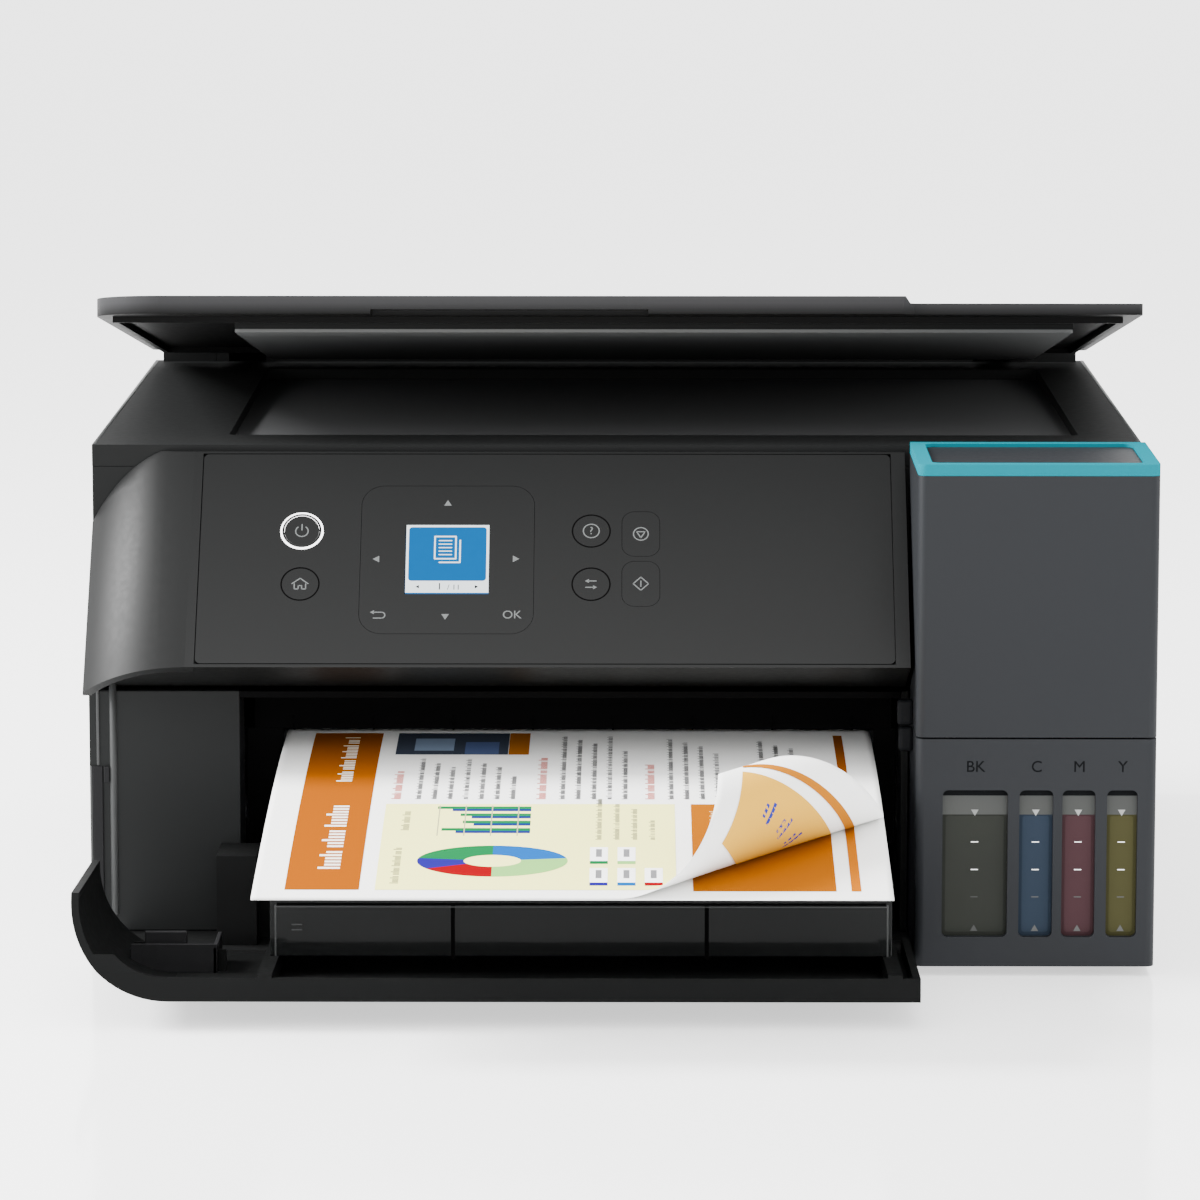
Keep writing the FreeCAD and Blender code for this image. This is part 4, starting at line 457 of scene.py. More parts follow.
WINDOW_FACE = PrintedInk("window_face", (1.0, 1.0, 1.0), 0.35)
LETTER_DARK = MouldedPlastic("letter_dark", screen_colour(14, 15, 16), 0.6, shine=0.0)
LUG_SLATE = MouldedPlastic("lug_slate", screen_colour(17, 18, 20), 0.5, shine=0.06)
RIB_GREY = MouldedPlastic("rib_grey", screen_colour(26, 26, 27), 0.5, shine=0.06)
INKS: Dict[str, MouldedPlastic] = {
    "black": MouldedPlastic("ink_black", screen_colour(20, 21, 21), 0.25),
    "cyan": MouldedPlastic("ink_cyan", screen_colour(16, 62, 110), 0.25),
    "magenta": MouldedPlastic("ink_magenta", screen_colour(112, 20, 46), 0.25),
    "yellow": MouldedPlastic("ink_yellow", screen_colour(120, 112, 12), 0.25),
}
FOUR_INKS = BandedInk("four_inks", INKS["black"].colour, tuple(ink.colour for ink in INKS.values()))


@dataclass(frozen=True)
class WorkPlane:
    """Flat plane of the object that signs are drawn on, in millimetres."""

    origin: Place
    upward: Place
    across: Place = (1.0, 0.0, 0.0)

    def normal(self) -> Vector:
        """Returns the plane's outward normal."""
        return Vector(self.across).cross(Vector(self.upward)).normalized()

    def matrix(self, lift: float) -> Matrix:
        """Gives the way from the plane's millimetres to the object's metres.

        Args:
            lift: Height above the plane in millimetres.

        Returns:
            The matrix.
        """
        out = self.normal()
        columns = [Vector(self.across), Vector(self.upward), out]
        turn = Matrix([[c[row] for c in columns] for row in range(3)]).to_4x4()
        start = Vector(self.origin) + out * lift
        return Matrix.Scale(MM, 4) @ Matrix.Translation(start) @ turn

    def height_of(self, node: str) -> float:
        """Measures how far a node stands above the plane.

        Args:
            node: Name of the node.

        Returns:
            The height in millimetres.
        """
        out = self.normal()
        start = Vector(self.origin) * MM
        return max((v.co - start).dot(out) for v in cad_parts[node].data.vertices) / MM


PANEL_SLOPE = math.radians(50.0)
PANEL_FACE = WorkPlane((0.0, -109.0, 107.5), (0.0, math.cos(PANEL_SLOPE), math.sin(PANEL_SLOPE)))
TRAY_FACE = WorkPlane((0.0, -163.48, 18.0), (0.0, 0.0527, 0.99861))
MAT_EDGE = WorkPlane((0.0, -15.75, 214.84), (0.0, 0.15643, 0.98769))
TANK_FACE = WorkPlane((0.0, FRONT, 0.0), (0.0, 0.0, 1.0))


class SignPen:
    """Draws flat signs in a plane's millimetres with mesh operators."""

    def __init__(self) -> None:
        """Starts an empty drawing."""
        self.mesh: BMesh = bmesh.new()
        self.ink = self.mesh.loops.layers.float_color.new("ink")
        self.colour: Colour = (1.0, 1.0, 1.0)
        self.level: float = 0.0

    def _paint(self, before: int, turned: bool = False) -> None:
        """Colours new faces and lifts them to the drawing's level.

        Args:
            before: Number of faces that the drawing had before them.
            turned: Whether some may have to be turned to look out of the plane.
        """
        self.mesh.faces.ensure_lookup_table()
        made = self.mesh.faces[before:]
        for corner in (loop for face in made for loop in face.loops):
            corner[self.ink] = (*self.colour, 1.0)
            corner.vert.co.z = self.level
        if turned:
            self.mesh.normal_update()
            bmesh.ops.reverse_faces(self.mesh, faces=[face for face in made if face.normal.z < 0.0])

    def plate(self, low: Spot, high: Spot, corner: float = 0.0, cells: Tuple[int, int] = (1, 1),
              turn: float = 0.0) -> None:
        """Draws a filled rectangle.

        Args:
            low: Its lower left corner.
            high: Its upper right corner.
            corner: Radius of its corners.
            cells: Cells across and up, for a plate that is bent later.
            turn: Turn about its own middle, in degrees.
        """
        before = len(self.mesh.faces)
        middle = Vector(((low[0] + high[0]) / 2, (low[1] + high[1]) / 2, 0.0))
        size = Matrix.Diagonal((high[0] - low[0], high[1] - low[1], 1.0, 1.0))
        way = Matrix.Translation(middle) @ Matrix.Rotation(math.radians(turn), 4, "Z") @ size
        made = bmesh.ops.create_grid(self.mesh, x_segments=cells[0], y_segments=cells[1], size=0.5,
                                     matrix=way)
        if corner > 0.0:
            bmesh.ops.bevel(self.mesh, geom=made["verts"], offset=corner, offset_type="OFFSET",
                            affect="VERTICES", segments=6, profile=0.5, material=-1)
        self._paint(before)

    def bar(self, start: Spot, stop: Spot, width: float) -> None:
        """Draws a straight stroke with round ends.

        Args:
            start: Where it starts.
            stop: Where it stops.
            width: Its width.
        """
        run = Vector((stop[0] - start[0], stop[1] - start[1]))
        middle = Vector(((start[0] + stop[0]) / 2, (start[1] + stop[1]) / 2))
        half = Vector((run.length / 2 + width / 2, width / 2))
        self.plate((middle.x - half.x, middle.y - half.y), (middle.x + half.x, middle.y + half.y),
                   width * 0.45, turn=math.degrees(math.atan2(run.y, run.x)))

    def path(self, spots: Sequence[Spot], width: float, middle: Spot = (0.0, 0.0)) -> None:
        """Draws strokes from spot to spot.

        Args:
            spots: The spots.
            width: Width of the strokes.
            middle: Where the spots are measured from.
        """
        moved = [(middle[0] + x, middle[1] + y) for x, y in spots]
        for start, stop in zip(moved, moved[1:]):
            self.bar(start, stop, width)

    def arc(self, middle: Spot, radius: float, width: float, start: float = 0.0, sweep: float = 360.0,
            steps: int = 48) -> None:
        """Draws a round stroke.

        Args:
            middle: Middle of the circle.
            radius: Radius at the middle of the stroke.
            width: Width of the stroke.
            start: Angle where it starts, in degrees.
            sweep: Angle that it covers, in degrees.
            steps: Number of straight pieces.
        """
        before = len(self.mesh.faces)
        away = Vector((math.cos(math.radians(start)), math.sin(math.radians(start)), 0.0))
        centre = Vector((*middle, 0.0))
        inner = self.mesh.verts.new(centre + away * (radius - width / 2))
        outer = self.mesh.verts.new(centre + away * (radius + width / 2))
        edge = self.mesh.edges.new((inner, outer))
        bmesh.ops.spin(self.mesh, geom=[inner, outer, edge], cent=centre, axis=(0.0, 0.0, 1.0),
                       angle=math.radians(sweep), steps=steps, use_merge=sweep >= 360.0)
        self._paint(before, turned=True)

    def disc(self, middle: Spot, radius: float, corners: int = 48, turn: float = 0.0) -> None:
        """Draws a filled circle, or a regular shape with few corners.

        Args:
            middle: Its middle.
            radius: Its radius.
            corners: Number of corners.
            turn: Turn of its first corner, in degrees.
        """
        before = len(self.mesh.faces)
        way = Matrix.Translation((*middle, 0.0)) @ Matrix.Rotation(math.radians(turn - 90.0), 4, "Z")
        bmesh.ops.create_circle(self.mesh, cap_ends=True, segments=corners, radius=radius, matrix=way)
        self._paint(before, turned=True)

    def outline(self, low: Spot, high: Spot, corner: float, width: float) -> None:
        """Draws the edge line of a rounded rectangle.

        Args:
            low: Its lower left corner.
            high: Its upper right corner.
            corner: Radius of its corners.
            width: Width of the line.
        """
        before = len(self.mesh.faces)
        self.plate(low, high, corner)
        self.mesh.faces.ensure_lookup_table()
        inner = list(self.mesh.faces[before:])
        bmesh.ops.inset_region(self.mesh, faces=inner, thickness=width, use_even_offset=True)
        bmesh.ops.delete(self.mesh, geom=inner, context="FACES_ONLY")
        self._paint(before)

    def words(self, letters: str, middle: Spot, size: float) -> None:
        """Writes generic letters or numbers.

        Args:
            letters: What is written.
            middle: Middle of the writing.
            size: Height of its line.
        """
        before = len(self.mesh.faces)
        curve = bpy.data.curves.new("letters", "FONT")
        curve.body = letters
        curve.size = size
        curve.align_x = "CENTER"
        curve.align_y = "CENTER"
        holder = bpy.data.objects.new("letters", curve)
        flat = bpy.data.meshes.new_from_object(holder)
        flat.transform(Matrix.Translation((*middle, 0.0)))
        self.mesh.from_mesh(flat)
        bpy.data.objects.remove(holder)
        bpy.data.curves.remove(curve)
        bpy.data.meshes.remove(flat)
        self._paint(before, turned=True)

    def lay(self, name: str, plane: WorkPlane, lift: float, finish: Finish, body: str) -> None:
        """Lays the drawing on a plane as a piece that rides on a body."""
        self.mesh.transform(plane.matrix(lift))
        Bench.piece(name, self.mesh, finish, body)


class BlockPen:
    """Builds plain blocks and rods in the object's millimetres with mesh operators."""

    def __init__(self) -> None:
        """Starts with no blocks."""
        self.mesh: BMesh = bmesh.new()

    def block(self, across: Spot, along: Spot, upward: Spot, edge: float) -> None:
        """Adds a block with softened edges.

        Args:
            across: Where it starts and stops along X.
            along: Where it starts and stops along Y.
            upward: Where it starts and stops along Z.
            edge: Width of its softened edges.
        """
        low, high = (Vector(corner) for corner in zip(across, along, upward))
        way = Matrix.Translation((low + high) / 2) @ Matrix.Diagonal((*(high - low), 1.0))
        made = bmesh.ops.create_cube(self.mesh, size=1.0, matrix=way)
        edges = list({line for corner in made["verts"] for line in corner.link_edges})
        bmesh.ops.bevel(self.mesh, geom=edges, offset=edge, offset_type="OFFSET", affect="EDGES", segments=3,
                        profile=0.5, material=-1)

    def rod(self, start: Place, stop: Place, radius: float, corners: int = 32) -> None:
        """Adds a round rod.

        Args:
            start: Middle of its first end.
            stop: Middle of its other end.
            radius: Its radius.
            corners: Number of its flat sides.
        """
        run = Vector(stop) - Vector(start)
        turn = run.to_track_quat("Z", "Y").to_matrix().to_4x4()
        way = Matrix.Translation((Vector(start) + Vector(stop)) / 2) @ turn
        bmesh.ops.create_cone(self.mesh, cap_ends=True, segments=corners, radius1=radius, radius2=radius,
                              depth=run.length, matrix=way)

    def done(self) -> BMesh:
        """Turns the blocks into metres and returns their mesh."""
        self.mesh.transform(Matrix.Scale(MM, 4))
        return self.mesh


class Bench:
    """Where pieces are finished, named and set to ride on their body."""

    weld_gap: float = 0.02
    sharp_angle: float = 38.0

    @staticmethod
    def piece(name: str, mesh: BMesh, finish: Finish, body: str, smooth: bool = False) -> Object:
        """Makes an object of a mesh.

        Args:
            name: Name of the piece.
            mesh: Its mesh, which is freed.
            finish: Its finish.
            body: Body that it rides on.
            smooth: Whether its faces are shaded smooth.

        Returns:
            The new object.
        """
        data = bpy.data.meshes.new(name)
        mesh.to_mesh(data)
        mesh.free()
        for face in data.polygons:
            face.use_smooth = smooth
        thing = bpy.data.objects.new(name, data)
        bpy.context.scene.collection.objects.link(thing)
        data.materials.append(finish.material())
        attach(thing, body)
        LOG.info("piece %s rides on %s", name, body)
        return thing

    @staticmethod
    def dress(node: str, finish: Finish, edge: float) -> None:
        """Gives a solid its finish and softens its edges.

        Args:
            node: Name of the solid.
            finish: Its finish.
            edge: Width of its softened edges in millimetres.
        """
        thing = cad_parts[node]
        thing.data.materials.clear()
        thing.data.materials.append(finish.material())
        if edge > 0.0:
            weld = thing.modifiers.new("join", "WELD")
            weld.merge_threshold = Bench.weld_gap * MM
            soften = thing.modifiers.new("soften", "BEVEL")
            soften.width = edge * MM
            soften.segments = 3
            soften.limit_method = "ANGLE"
            soften.angle_limit = math.radians(Bench.sharp_angle)
        LOG.info("dressed %s", node)


@dataclass
class Studio:
    """Floor, light and camera."""

    lens: float = 170.52
    sensor: float = 36.0
    spot: Place = (6.148, -2060.41, 430.14)
    dip: float = 8.707
    turn: float = 0.351
    far: float = 50.0
    floor_half: float = 9.0
    sky: float = 2.4
    lamps: Tuple[Tuple[str, Place, Place, float, float], ...] = (
        ("top_lamp", (0.0, -0.2, 1.9), (0.0, 0.0, 0.1), 1.6, 22.0),
        ("front_lamp", (0.5, -1.8, 1.2), (0.0, 0.0, 0.1), 1.2, 12.0),
        ("left_lamp", (-1.7, -0.7, 0.7), (-0.15, -0.05, 0.12), 0.9, 30.0),
        ("wing_lamp", (-1.5, 0.1, 1.15), (-0.16, -0.08, 0.14), 0.6, 115.0),
        ("right_lamp", (1.9, -0.5, 0.6), (0.15, -0.05, 0.12), 0.5, 14.0),
    )

    def build(self) -> None:
        """Sets up the camera, the floor and the lights."""
        self._camera()
        self._floor()
        self._lights()

    def _camera(self) -> None:
        """Places the camera."""
        data = bpy.data.cameras.new("camera")
        data.lens = self.lens
        data.sensor_width = self.sensor
        data.clip_end = self.far
        camera = bpy.data.objects.new("camera", data)
        camera.location = Vector(self.spot) * MM
        camera.rotation_euler = (math.radians(90.0 - self.dip), 0.0, math.radians(self.turn))
        bpy.context.scene.collection.objects.link(camera)
        bpy.context.scene.camera = camera

    def _floor(self) -> None:
        """Lays a wide, pale and slightly glossy floor."""
        mesh = bmesh.new()
        bmesh.ops.create_grid(mesh, x_segments=1, y_segments=1, size=self.floor_half)
        data = bpy.data.meshes.new("floor")
        mesh.to_mesh(data)
        mesh.free()
        floor = bpy.data.objects.new("floor", data)
        bpy.context.scene.collection.objects.link(floor)
        nodes = NodeTree("floor_white")
        cloud = nodes.noise(3.0, 2.0)
        nodes.link(nodes.tint(cloud, (0.88, 0.88, 0.88), (0.92, 0.92, 0.92)), "Base Color")
        nodes.put("Roughness", 0.12)
        nodes.put("Specular IOR Level", 0.5)
        nodes.put("Emission Color", (1.0, 1.0, 1.0, 1.0))
        nodes.put("Emission Strength", 1.0)
        data.materials.append(nodes.material)

    def _lights(self) -> None:
        """Hangs soft lights round the object."""
        world = bpy.data.worlds.new("studio")
        world.use_nodes = True
        glow = world.node_tree.nodes["Background"].inputs
        glow["Color"].default_value = (1.0, 1.0, 1.0, 1.0)
        glow["Strength"].default_value = self.sky
        bpy.context.scene.world = world
        for lamp in self.lamps:
            self._lamp(*lamp)

    @staticmethod
    def _lamp(name: str, spot: Place, target: Place, size: float, power: float) -> None:
        """Hangs one soft lamp.

        Args:
            name: Name of the lamp.
            spot: Where it hangs.
            target: Where it points.
            size: Width of its face in metres.
            power: Its power in watts.
        """
        data = bpy.data.lights.new(name, "AREA")
        data.size = size
        data.energy = power
        lamp = bpy.data.objects.new(name, data)
        lamp.location = spot
        aim = Vector(target) - Vector(spot)
        lamp.rotation_euler = aim.to_track_quat("-Z", "Y").to_euler()
        bpy.context.scene.collection.objects.link(lamp)


@dataclass(frozen=True)
class Solids:
    """Solids that keep their own shape and share a finish."""

    finish: Finish
    edge: float
    nodes: Tuple[str, ...]

    def dress(self) -> None:
        """Dresses every solid of the group."""
        for node in self.nodes:
            Bench.dress(node, self.finish, self.edge)


SOLIDS = (
    Solids(CASE_BLACK, 0.4, ("base_case",)),
    Solids(CASE_BLACK, 0.5, ("case_right", "case_rear", "rear_cover")),
    Solids(CASE_BLACK, 0.3, ("print_head",)),
    Solids(COLUMN_BLACK, 0.5, ("case_left",)),
    Solids(COVER_BLACK, 0.4, ("front_cover",)),
    Solids(INNER_BLACK, 0.2, ("power_inlet", "platen")),
    Solids(INNER_BLACK, 0.3, ("paper_cassette", "edge_guide_left", "edge_guide_right", "scan_bar",
                              "lid_hinges", "ink_cap_black", "capping_station")),
    Solids(INNER_BLACK, 0.4, ("case_header", "carriage")),
    Solids(INNER_BLACK, 0.5, ("power_supply",)),
    Solids(PANEL_GREY, 0.5, ("panel_housing",)),
    Solids(FASCIA_GREY, 0.0, ("panel_fascia",)),
    Solids(KEY_GREY, 0.0, ("power_button", "home_button", "help_button", "settings_button", "stop_button",
                           "start_button", "nav_pad")),
    Solids(RING_WHITE, 0.0, ("power_light_ring",)),
    Solids(SCREEN_BLUE, 0.0, ("lcd_display",)),
    Solids(SMOKY_CLEAR, 0.3, ("output_tray",)),
    Solids(SCANNER_BLACK, 0.5, ("scanner_pan", "scanner_frame")),
    Solids(GLASS_REFLECTION_GREY, 0.0, ("scanner_glass",)),
    Solids(LID_CHARCOAL, 0.6, ("scanner_lid",)),
    Solids(MAT_WHITE, 0.6, ("lid_mat",)),
    Solids(TANK_SLATE, 0.4, ("tank_housing", "tank_cover")),
    Solids(TANK_CLEAR, 0.0, ("ink_tanks",)),
    Solids(FOUR_INKS, 0.0, ("inks",)),
    Solids(INKS["cyan"], 0.3, ("ink_cap_cyan",)),
    Solids(INKS["magenta"], 0.3, ("ink_cap_magenta",)),
    Solids(INKS["yellow"], 0.3, ("ink_cap_yellow",)),
    Solids(TRIM_TEAL, 0.3, ("tank_cover_trim",)),
    Solids(PLATE_STEEL, 0.0, ("data_socket", "chassis")),
    Solids(PLATE_STEEL, 0.4, ("carriage_motor", "feed_motor")),
    Solids(SHAFT_STEEL, 0.0, ("feed_roller",)),
    Solids(DARK_STEEL, 0.0, ("casing_screws",)),
    Solids(PULLEY_WHITE, 0.0, ("drive_pulley", "idler_pulley", "motor_pulley")),
    Solids(BOARD_GREEN, 0.0, ("main_board",)),
    Solids(FOOT_RUBBER, 0.5, ("rubber_feet",)),
    Solids(BELT_RUBBER, 0.0, ("drive_belts",)),
    Solids(ROLLER_RUBBER, 0.0, ("eject_roller",)),
    Solids(ROLLER_RUBBER, 0.3, ("pickup_roller",)),
    Solids(TUBE_RUBBER, 0.0, ("ink_tubes",)),
)


@dataclass
class KeyPanel:
    """Seam lines and signs of the slanted panel, its keys and its pad."""

    line: float = 0.42
    seam: float = 0.5
    seam_lift: float = 0.04
    sign_lift: float = 0.05
    shade_lift: float = 0.1
    power: Spot = (-111.3, 56.0)
    home: Spot = (-111.3, 34.0)
    help: Spot = (-9.1, 56.0)
    settings: Spot = (-9.1, 34.0)
    stop: Spot = (8.4, 54.8)
    start: Spot = (8.4, 34.2)
    pad: Spot = (-59.8, 44.2)
    pad_half: float = 30.5
    pad_corner: float = 8.0
    round_key: float = 6.4
    long_key: Spot = (6.6, 9.2)
    ring_shade: Spot = (6.2, 0.72)
    power_ring: float = 2.2
    power_bar: Tuple[Spot, ...] = ((0.0, 0.3), (0.0, 2.6))
    roof: Tuple[Spot, ...] = ((-2.8, 0.1), (0.0, 2.3), (2.8, 0.1))
    walls: Tuple[Spot, ...] = ((-2.0, 0.0), (-2.0, -2.1), (-0.6, -2.1), (-0.6, -0.7), (0.6, -0.7),
                               (0.6, -2.1), (2.0, -2.1), (2.0, 0.0))
    help_ring: float = 2.8
    arrow_rise: float = 1.3
    arrow_head: float = 0.95
    stop_ring: float = 2.6
    triangle: Tuple[Spot, ...] = ((-1.5, 0.9), (1.5, 0.9), (0.0, -1.6), (-1.5, 0.9))
    diamond: Tuple[Spot, ...] = ((-2.7, 0.0), (0.0, 2.7), (2.7, 0.0), (0.0, -2.7), (-2.7, 0.0))
    start_bar: Tuple[Spot, ...] = ((0.0, -1.1), (0.0, 1.1))
    pointer: float = 1.55
    pointers: Tuple[Tuple[Spot, float], ...] = (((-0.1, 23.1), 90.0), ((-24.7, 0.1), 180.0),
                                                ((23.9, 0.2), 0.0), ((-0.3, -23.3), 270.0))
    hook: Spot = (-23.8, -23.0)
    hook_bend: float = 1.2
    letters: Spot = (23.1, -22.9)

    def build(self) -> None:
        """Draws the seams, then each key's sign."""
        self._seams()
        signs = {"power": self._power, "home": self._home, "help": self._help, "settings": self._settings,
                 "stop": self._stop, "start": self._start}
        for key, draw in signs.items():
            self._sign(f"{key}_sign", f"{key}_button", draw)
        self._sign("pad_signs", "nav_pad", self._pad)

    def _seams(self) -> None:
        """Draws the dark gaps round the keys and the pad."""
        pen = SignPen()
        for spot in (self.home, self.help, self.settings):
            pen.arc(spot, self.round_key + self.seam / 2, self.seam)
        half = (self.long_key[0] + self.seam, self.long_key[1] + self.seam)
        for spot in (self.stop, self.start):
            pen.outline(*around(spot, half), self.long_key[0], self.seam)
        half = (self.pad_half + self.seam, self.pad_half + self.seam)
        pen.outline(*around(self.pad, half), self.pad_corner + self.seam, self.seam)
        lift = PANEL_FACE.height_of("panel_fascia") + self.seam_lift
        pen.lay("key_seams", PANEL_FACE, lift, SEAM_BLACK, "base")
        shade = SignPen()
        radius, width = self.ring_shade
        shade.arc(self.power, radius + width / 2, width, steps=96)
        lift = PANEL_FACE.height_of("power_light_ring") + self.shade_lift
        shade.lay("ring_shade", PANEL_FACE, lift, KEY_GREY, "base")

    def _sign(self, name: str, node: str, draw: Callable[[SignPen], None]) -> None:
        """Draws one key's sign on top of the key.

        Args:
            name: Name of the piece.
            node: Key that carries it.
            draw: Method that draws it.
        """
        pen = SignPen()
        draw(pen)
        pen.lay(name, PANEL_FACE, PANEL_FACE.height_of(node) + self.sign_lift, SIGN_WHITE, node)

    def _power(self, pen: SignPen) -> None:
        """Draws an open ring with a bar at its gap."""
        pen.arc((self.power[0], self.power[1] - 0.2), self.power_ring, self.line, 125.0, 290.0)
        pen.path(self.power_bar, self.line, self.power)

    def _home(self, pen: SignPen) -> None:
        """Draws a small house."""
        pen.path(self.roof, self.line, self.home)
        pen.path(self.walls, self.line, self.home)

    def _help(self, pen: SignPen) -> None:
        """Draws a question mark in a ring."""
        pen.arc(self.help, self.help_ring, self.line)
        pen.words("?", self.help, 4.4)

    def _settings(self, pen: SignPen) -> None:
        """Draws two arrows that point opposite ways.

        Args:
            pen: Pen that draws.
        """
        x, v = self.settings
        for way, turn in ((-1.0, 180.0), (1.0, 0.0)):
            level = v - self.arrow_rise * way
            pen.bar((x - 1.8 * way, level), (x + 0.8 * way, level), self.line)
            pen.disc((x + 1.2 * way, level), self.arrow_head, 3, turn)

    def _stop(self, pen: SignPen) -> None:
        """Draws a ring with a triangle that points down."""
        pen.arc(self.stop, self.stop_ring, self.line)
        pen.path(self.triangle, self.line, self.stop)

    def _start(self, pen: SignPen) -> None:
        """Draws an upright bar in a diamond."""
        pen.path(self.diamond, self.line, self.start)
        pen.path(self.start_bar, self.line, self.start)

    def _pad(self, pen: SignPen) -> None:
        """Draws the pad's four pointers, its return arrow and its confirming letters.

        Args:
            pen: Pen that draws.
        """
        x, v = self.pad
        for spot, turn in self.pointers:
            pen.disc((x + spot[0], v + spot[1]), self.pointer, 3, turn)
        bend = self.hook_bend
        hook = (x + self.hook[0], v + self.hook[1])
        pen.path(((-1.4, bend), (bend, bend)), self.line, hook)
        pen.arc((hook[0] + bend, hook[1]), bend, self.line, -90.0, 180.0, 16)
        pen.path(((-1.6, -bend), (bend, -bend)), self.line, hook)
        pen.disc((hook[0] - 1.9, hook[1] + bend), self.arrow_head, 3, 180.0)
        pen.words("OK", (x + self.letters[0], v + self.letters[1]), 4.6)


@dataclass
class Screen:
    """Picture on the lit screen: a blue field, two sheets and a pale strip."""

    middle: Spot = (-59.7, 44.4)
    half: Spot = (14.6, 14.0)
    border: float = 0.9
    corner: float = 1.2
    strip: float = 4.9
    lift: float = 0.04
    layer: float = 0.03
    line: float = 0.55
    icon: Spot = (-0.8, 4.6)
    sheet: Tuple[Spot, ...] = ((-3.7, -4.6), (-3.7, 4.6), (3.7, 4.6), (3.7, -4.6), (-3.7, -4.6))
    behind: Tuple[Spot, ...] = ((-2.0, -6.1), (5.2, -6.1), (5.2, 3.0))
    rows: int = 5
    row_top: float = 2.9
    row_step: float = 1.45
    row_half: float = 2.2
    row_line: float = 0.4
    pointer: float = 0.8
    pointer_place: float = 10.2

    def build(self) -> None:
        """Draws the fields, the icon and the marks on the strip."""
        x, v = self.middle
        lift = max(PANEL_FACE.height_of("lcd_display"), PANEL_FACE.height_of("nav_pad")) + self.lift
        low, high = around(self.middle, self.half)
        pale = SignPen()
        pale.plate(low, high)
        pale.lay("screen_border", PANEL_FACE, lift, SCREEN_WHITE, "base")
        blue = SignPen()
        field = (low[0] + self.border, low[1] + self.strip), (high[0] - self.border, high[1] - self.border)
        blue.plate(*field, self.corner)
        blue.lay("screen_field", PANEL_FACE, lift + self.layer, SCREEN_BLUE, "base")
        icon = SignPen()
        centre = (x + self.icon[0], v + self.icon[1])
        icon.path(self.sheet, self.line, centre)
        for row in range(self.rows):
            level = self.row_top - self.row_step * row
            icon.path(((-self.row_half, level), (self.row_half, level)), self.row_line, centre)
        icon.path(self.behind, self.line, centre)
        icon.lay("screen_icon", PANEL_FACE, lift + self.layer * 2, SCREEN_WHITE, "base")
        marks = SignPen()
        level = low[1] + self.strip / 2
        marks.disc((x - self.pointer_place, level), self.pointer, 3, 180.0)
        marks.disc((x + self.pointer_place, level), self.pointer, 3, 0.0)
        marks.words("1", (x - 2.6, level), 4.0)
        marks.words("/ 11", (x + 2.4, level - 0.3), 3.0)
        marks.lay("screen_marks", PANEL_FACE, lift + self.layer * 2, SEAM_BLACK, "base")


@dataclass
class InkWindow:
    """One window of the ink tank: its ink, the empty band above it, marks and letters."""

    ink: str
    letters: str
    left: float
    right: float
    ink_colour: Colour
    mark_colour: Colour
    low: float = 14.0
    high: float = 66.0
    level: float = 57.0
    recess: float = 2.45
    shadow: float = 63.7
    over: float = 0.6
    layer: float = 0.04
    rim_share: float = 0.75
    pointer: float = 1.5
    scale: Tuple[float, ...] = (47.3, 37.5, 27.8)
    scale_half: float = 1.1
    scale_line: float = 0.34
    mark_share: float = 0.3
    letter_place: float = 74.2
    letter_size: float = 5.6
    letter_lift: float = 0.06
    empty_colour: Colour = (0.052, 0.054, 0.052)
    shadow_colour: Colour = (0.006, 0.0065, 0.007)

    def build(self) -> None:
        """Draws the window's face with its marks, then the letters above it."""
        left, right = self.left - self.over, self.right + self.over
        bands = ((self.empty_colour, self.level, self.shadow),
                 (self.shadow_colour, self.shadow, self.high + self.over),
                 (paler(self.ink_colour, self.rim_share), self.low - self.over, self.level))
        face = SignPen()
        for colour, low, high in bands:
            face.colour = colour
            face.plate((left, low), (right, high))
        name = f"window_{self.ink}"
        face.lay(name, TANK_FACE, -self.recess, WINDOW_FACE, "base")
        core = SignPen()
        core.colour = self.ink_colour
        core.plate((self.left + 1.2, self.low + 1.4), (self.right - 1.2, self.level - 0.5), 1.0)
        core.lay(f"{name}_core", TANK_FACE, self.layer - self.recess, WINDOW_FACE, "base")
        marks = SignPen()
        marks.colour = self.mark_colour
        middle = (self.left + self.right) / 2
        marks.disc((middle, self.level + 1.0), self.pointer, 3, 270.0)
        marks.colour = paler(self.mark_colour, self.mark_share)
        marks.disc((middle, self.low + 2.4), self.pointer, 3, 90.0)
        for level in self.scale:
            marks.bar((middle - self.scale_half, level), (middle + self.scale_half, level), self.scale_line)
        marks.lay(f"{name}_marks", TANK_FACE, self.layer * 2 - self.recess, WINDOW_FACE, "base")
        letters = SignPen()
        letters.words(self.letters, (middle, self.letter_place), self.letter_size)
        letters.lay(f"letters_{self.ink}", TANK_FACE, self.letter_lift, LETTER_DARK, "base")


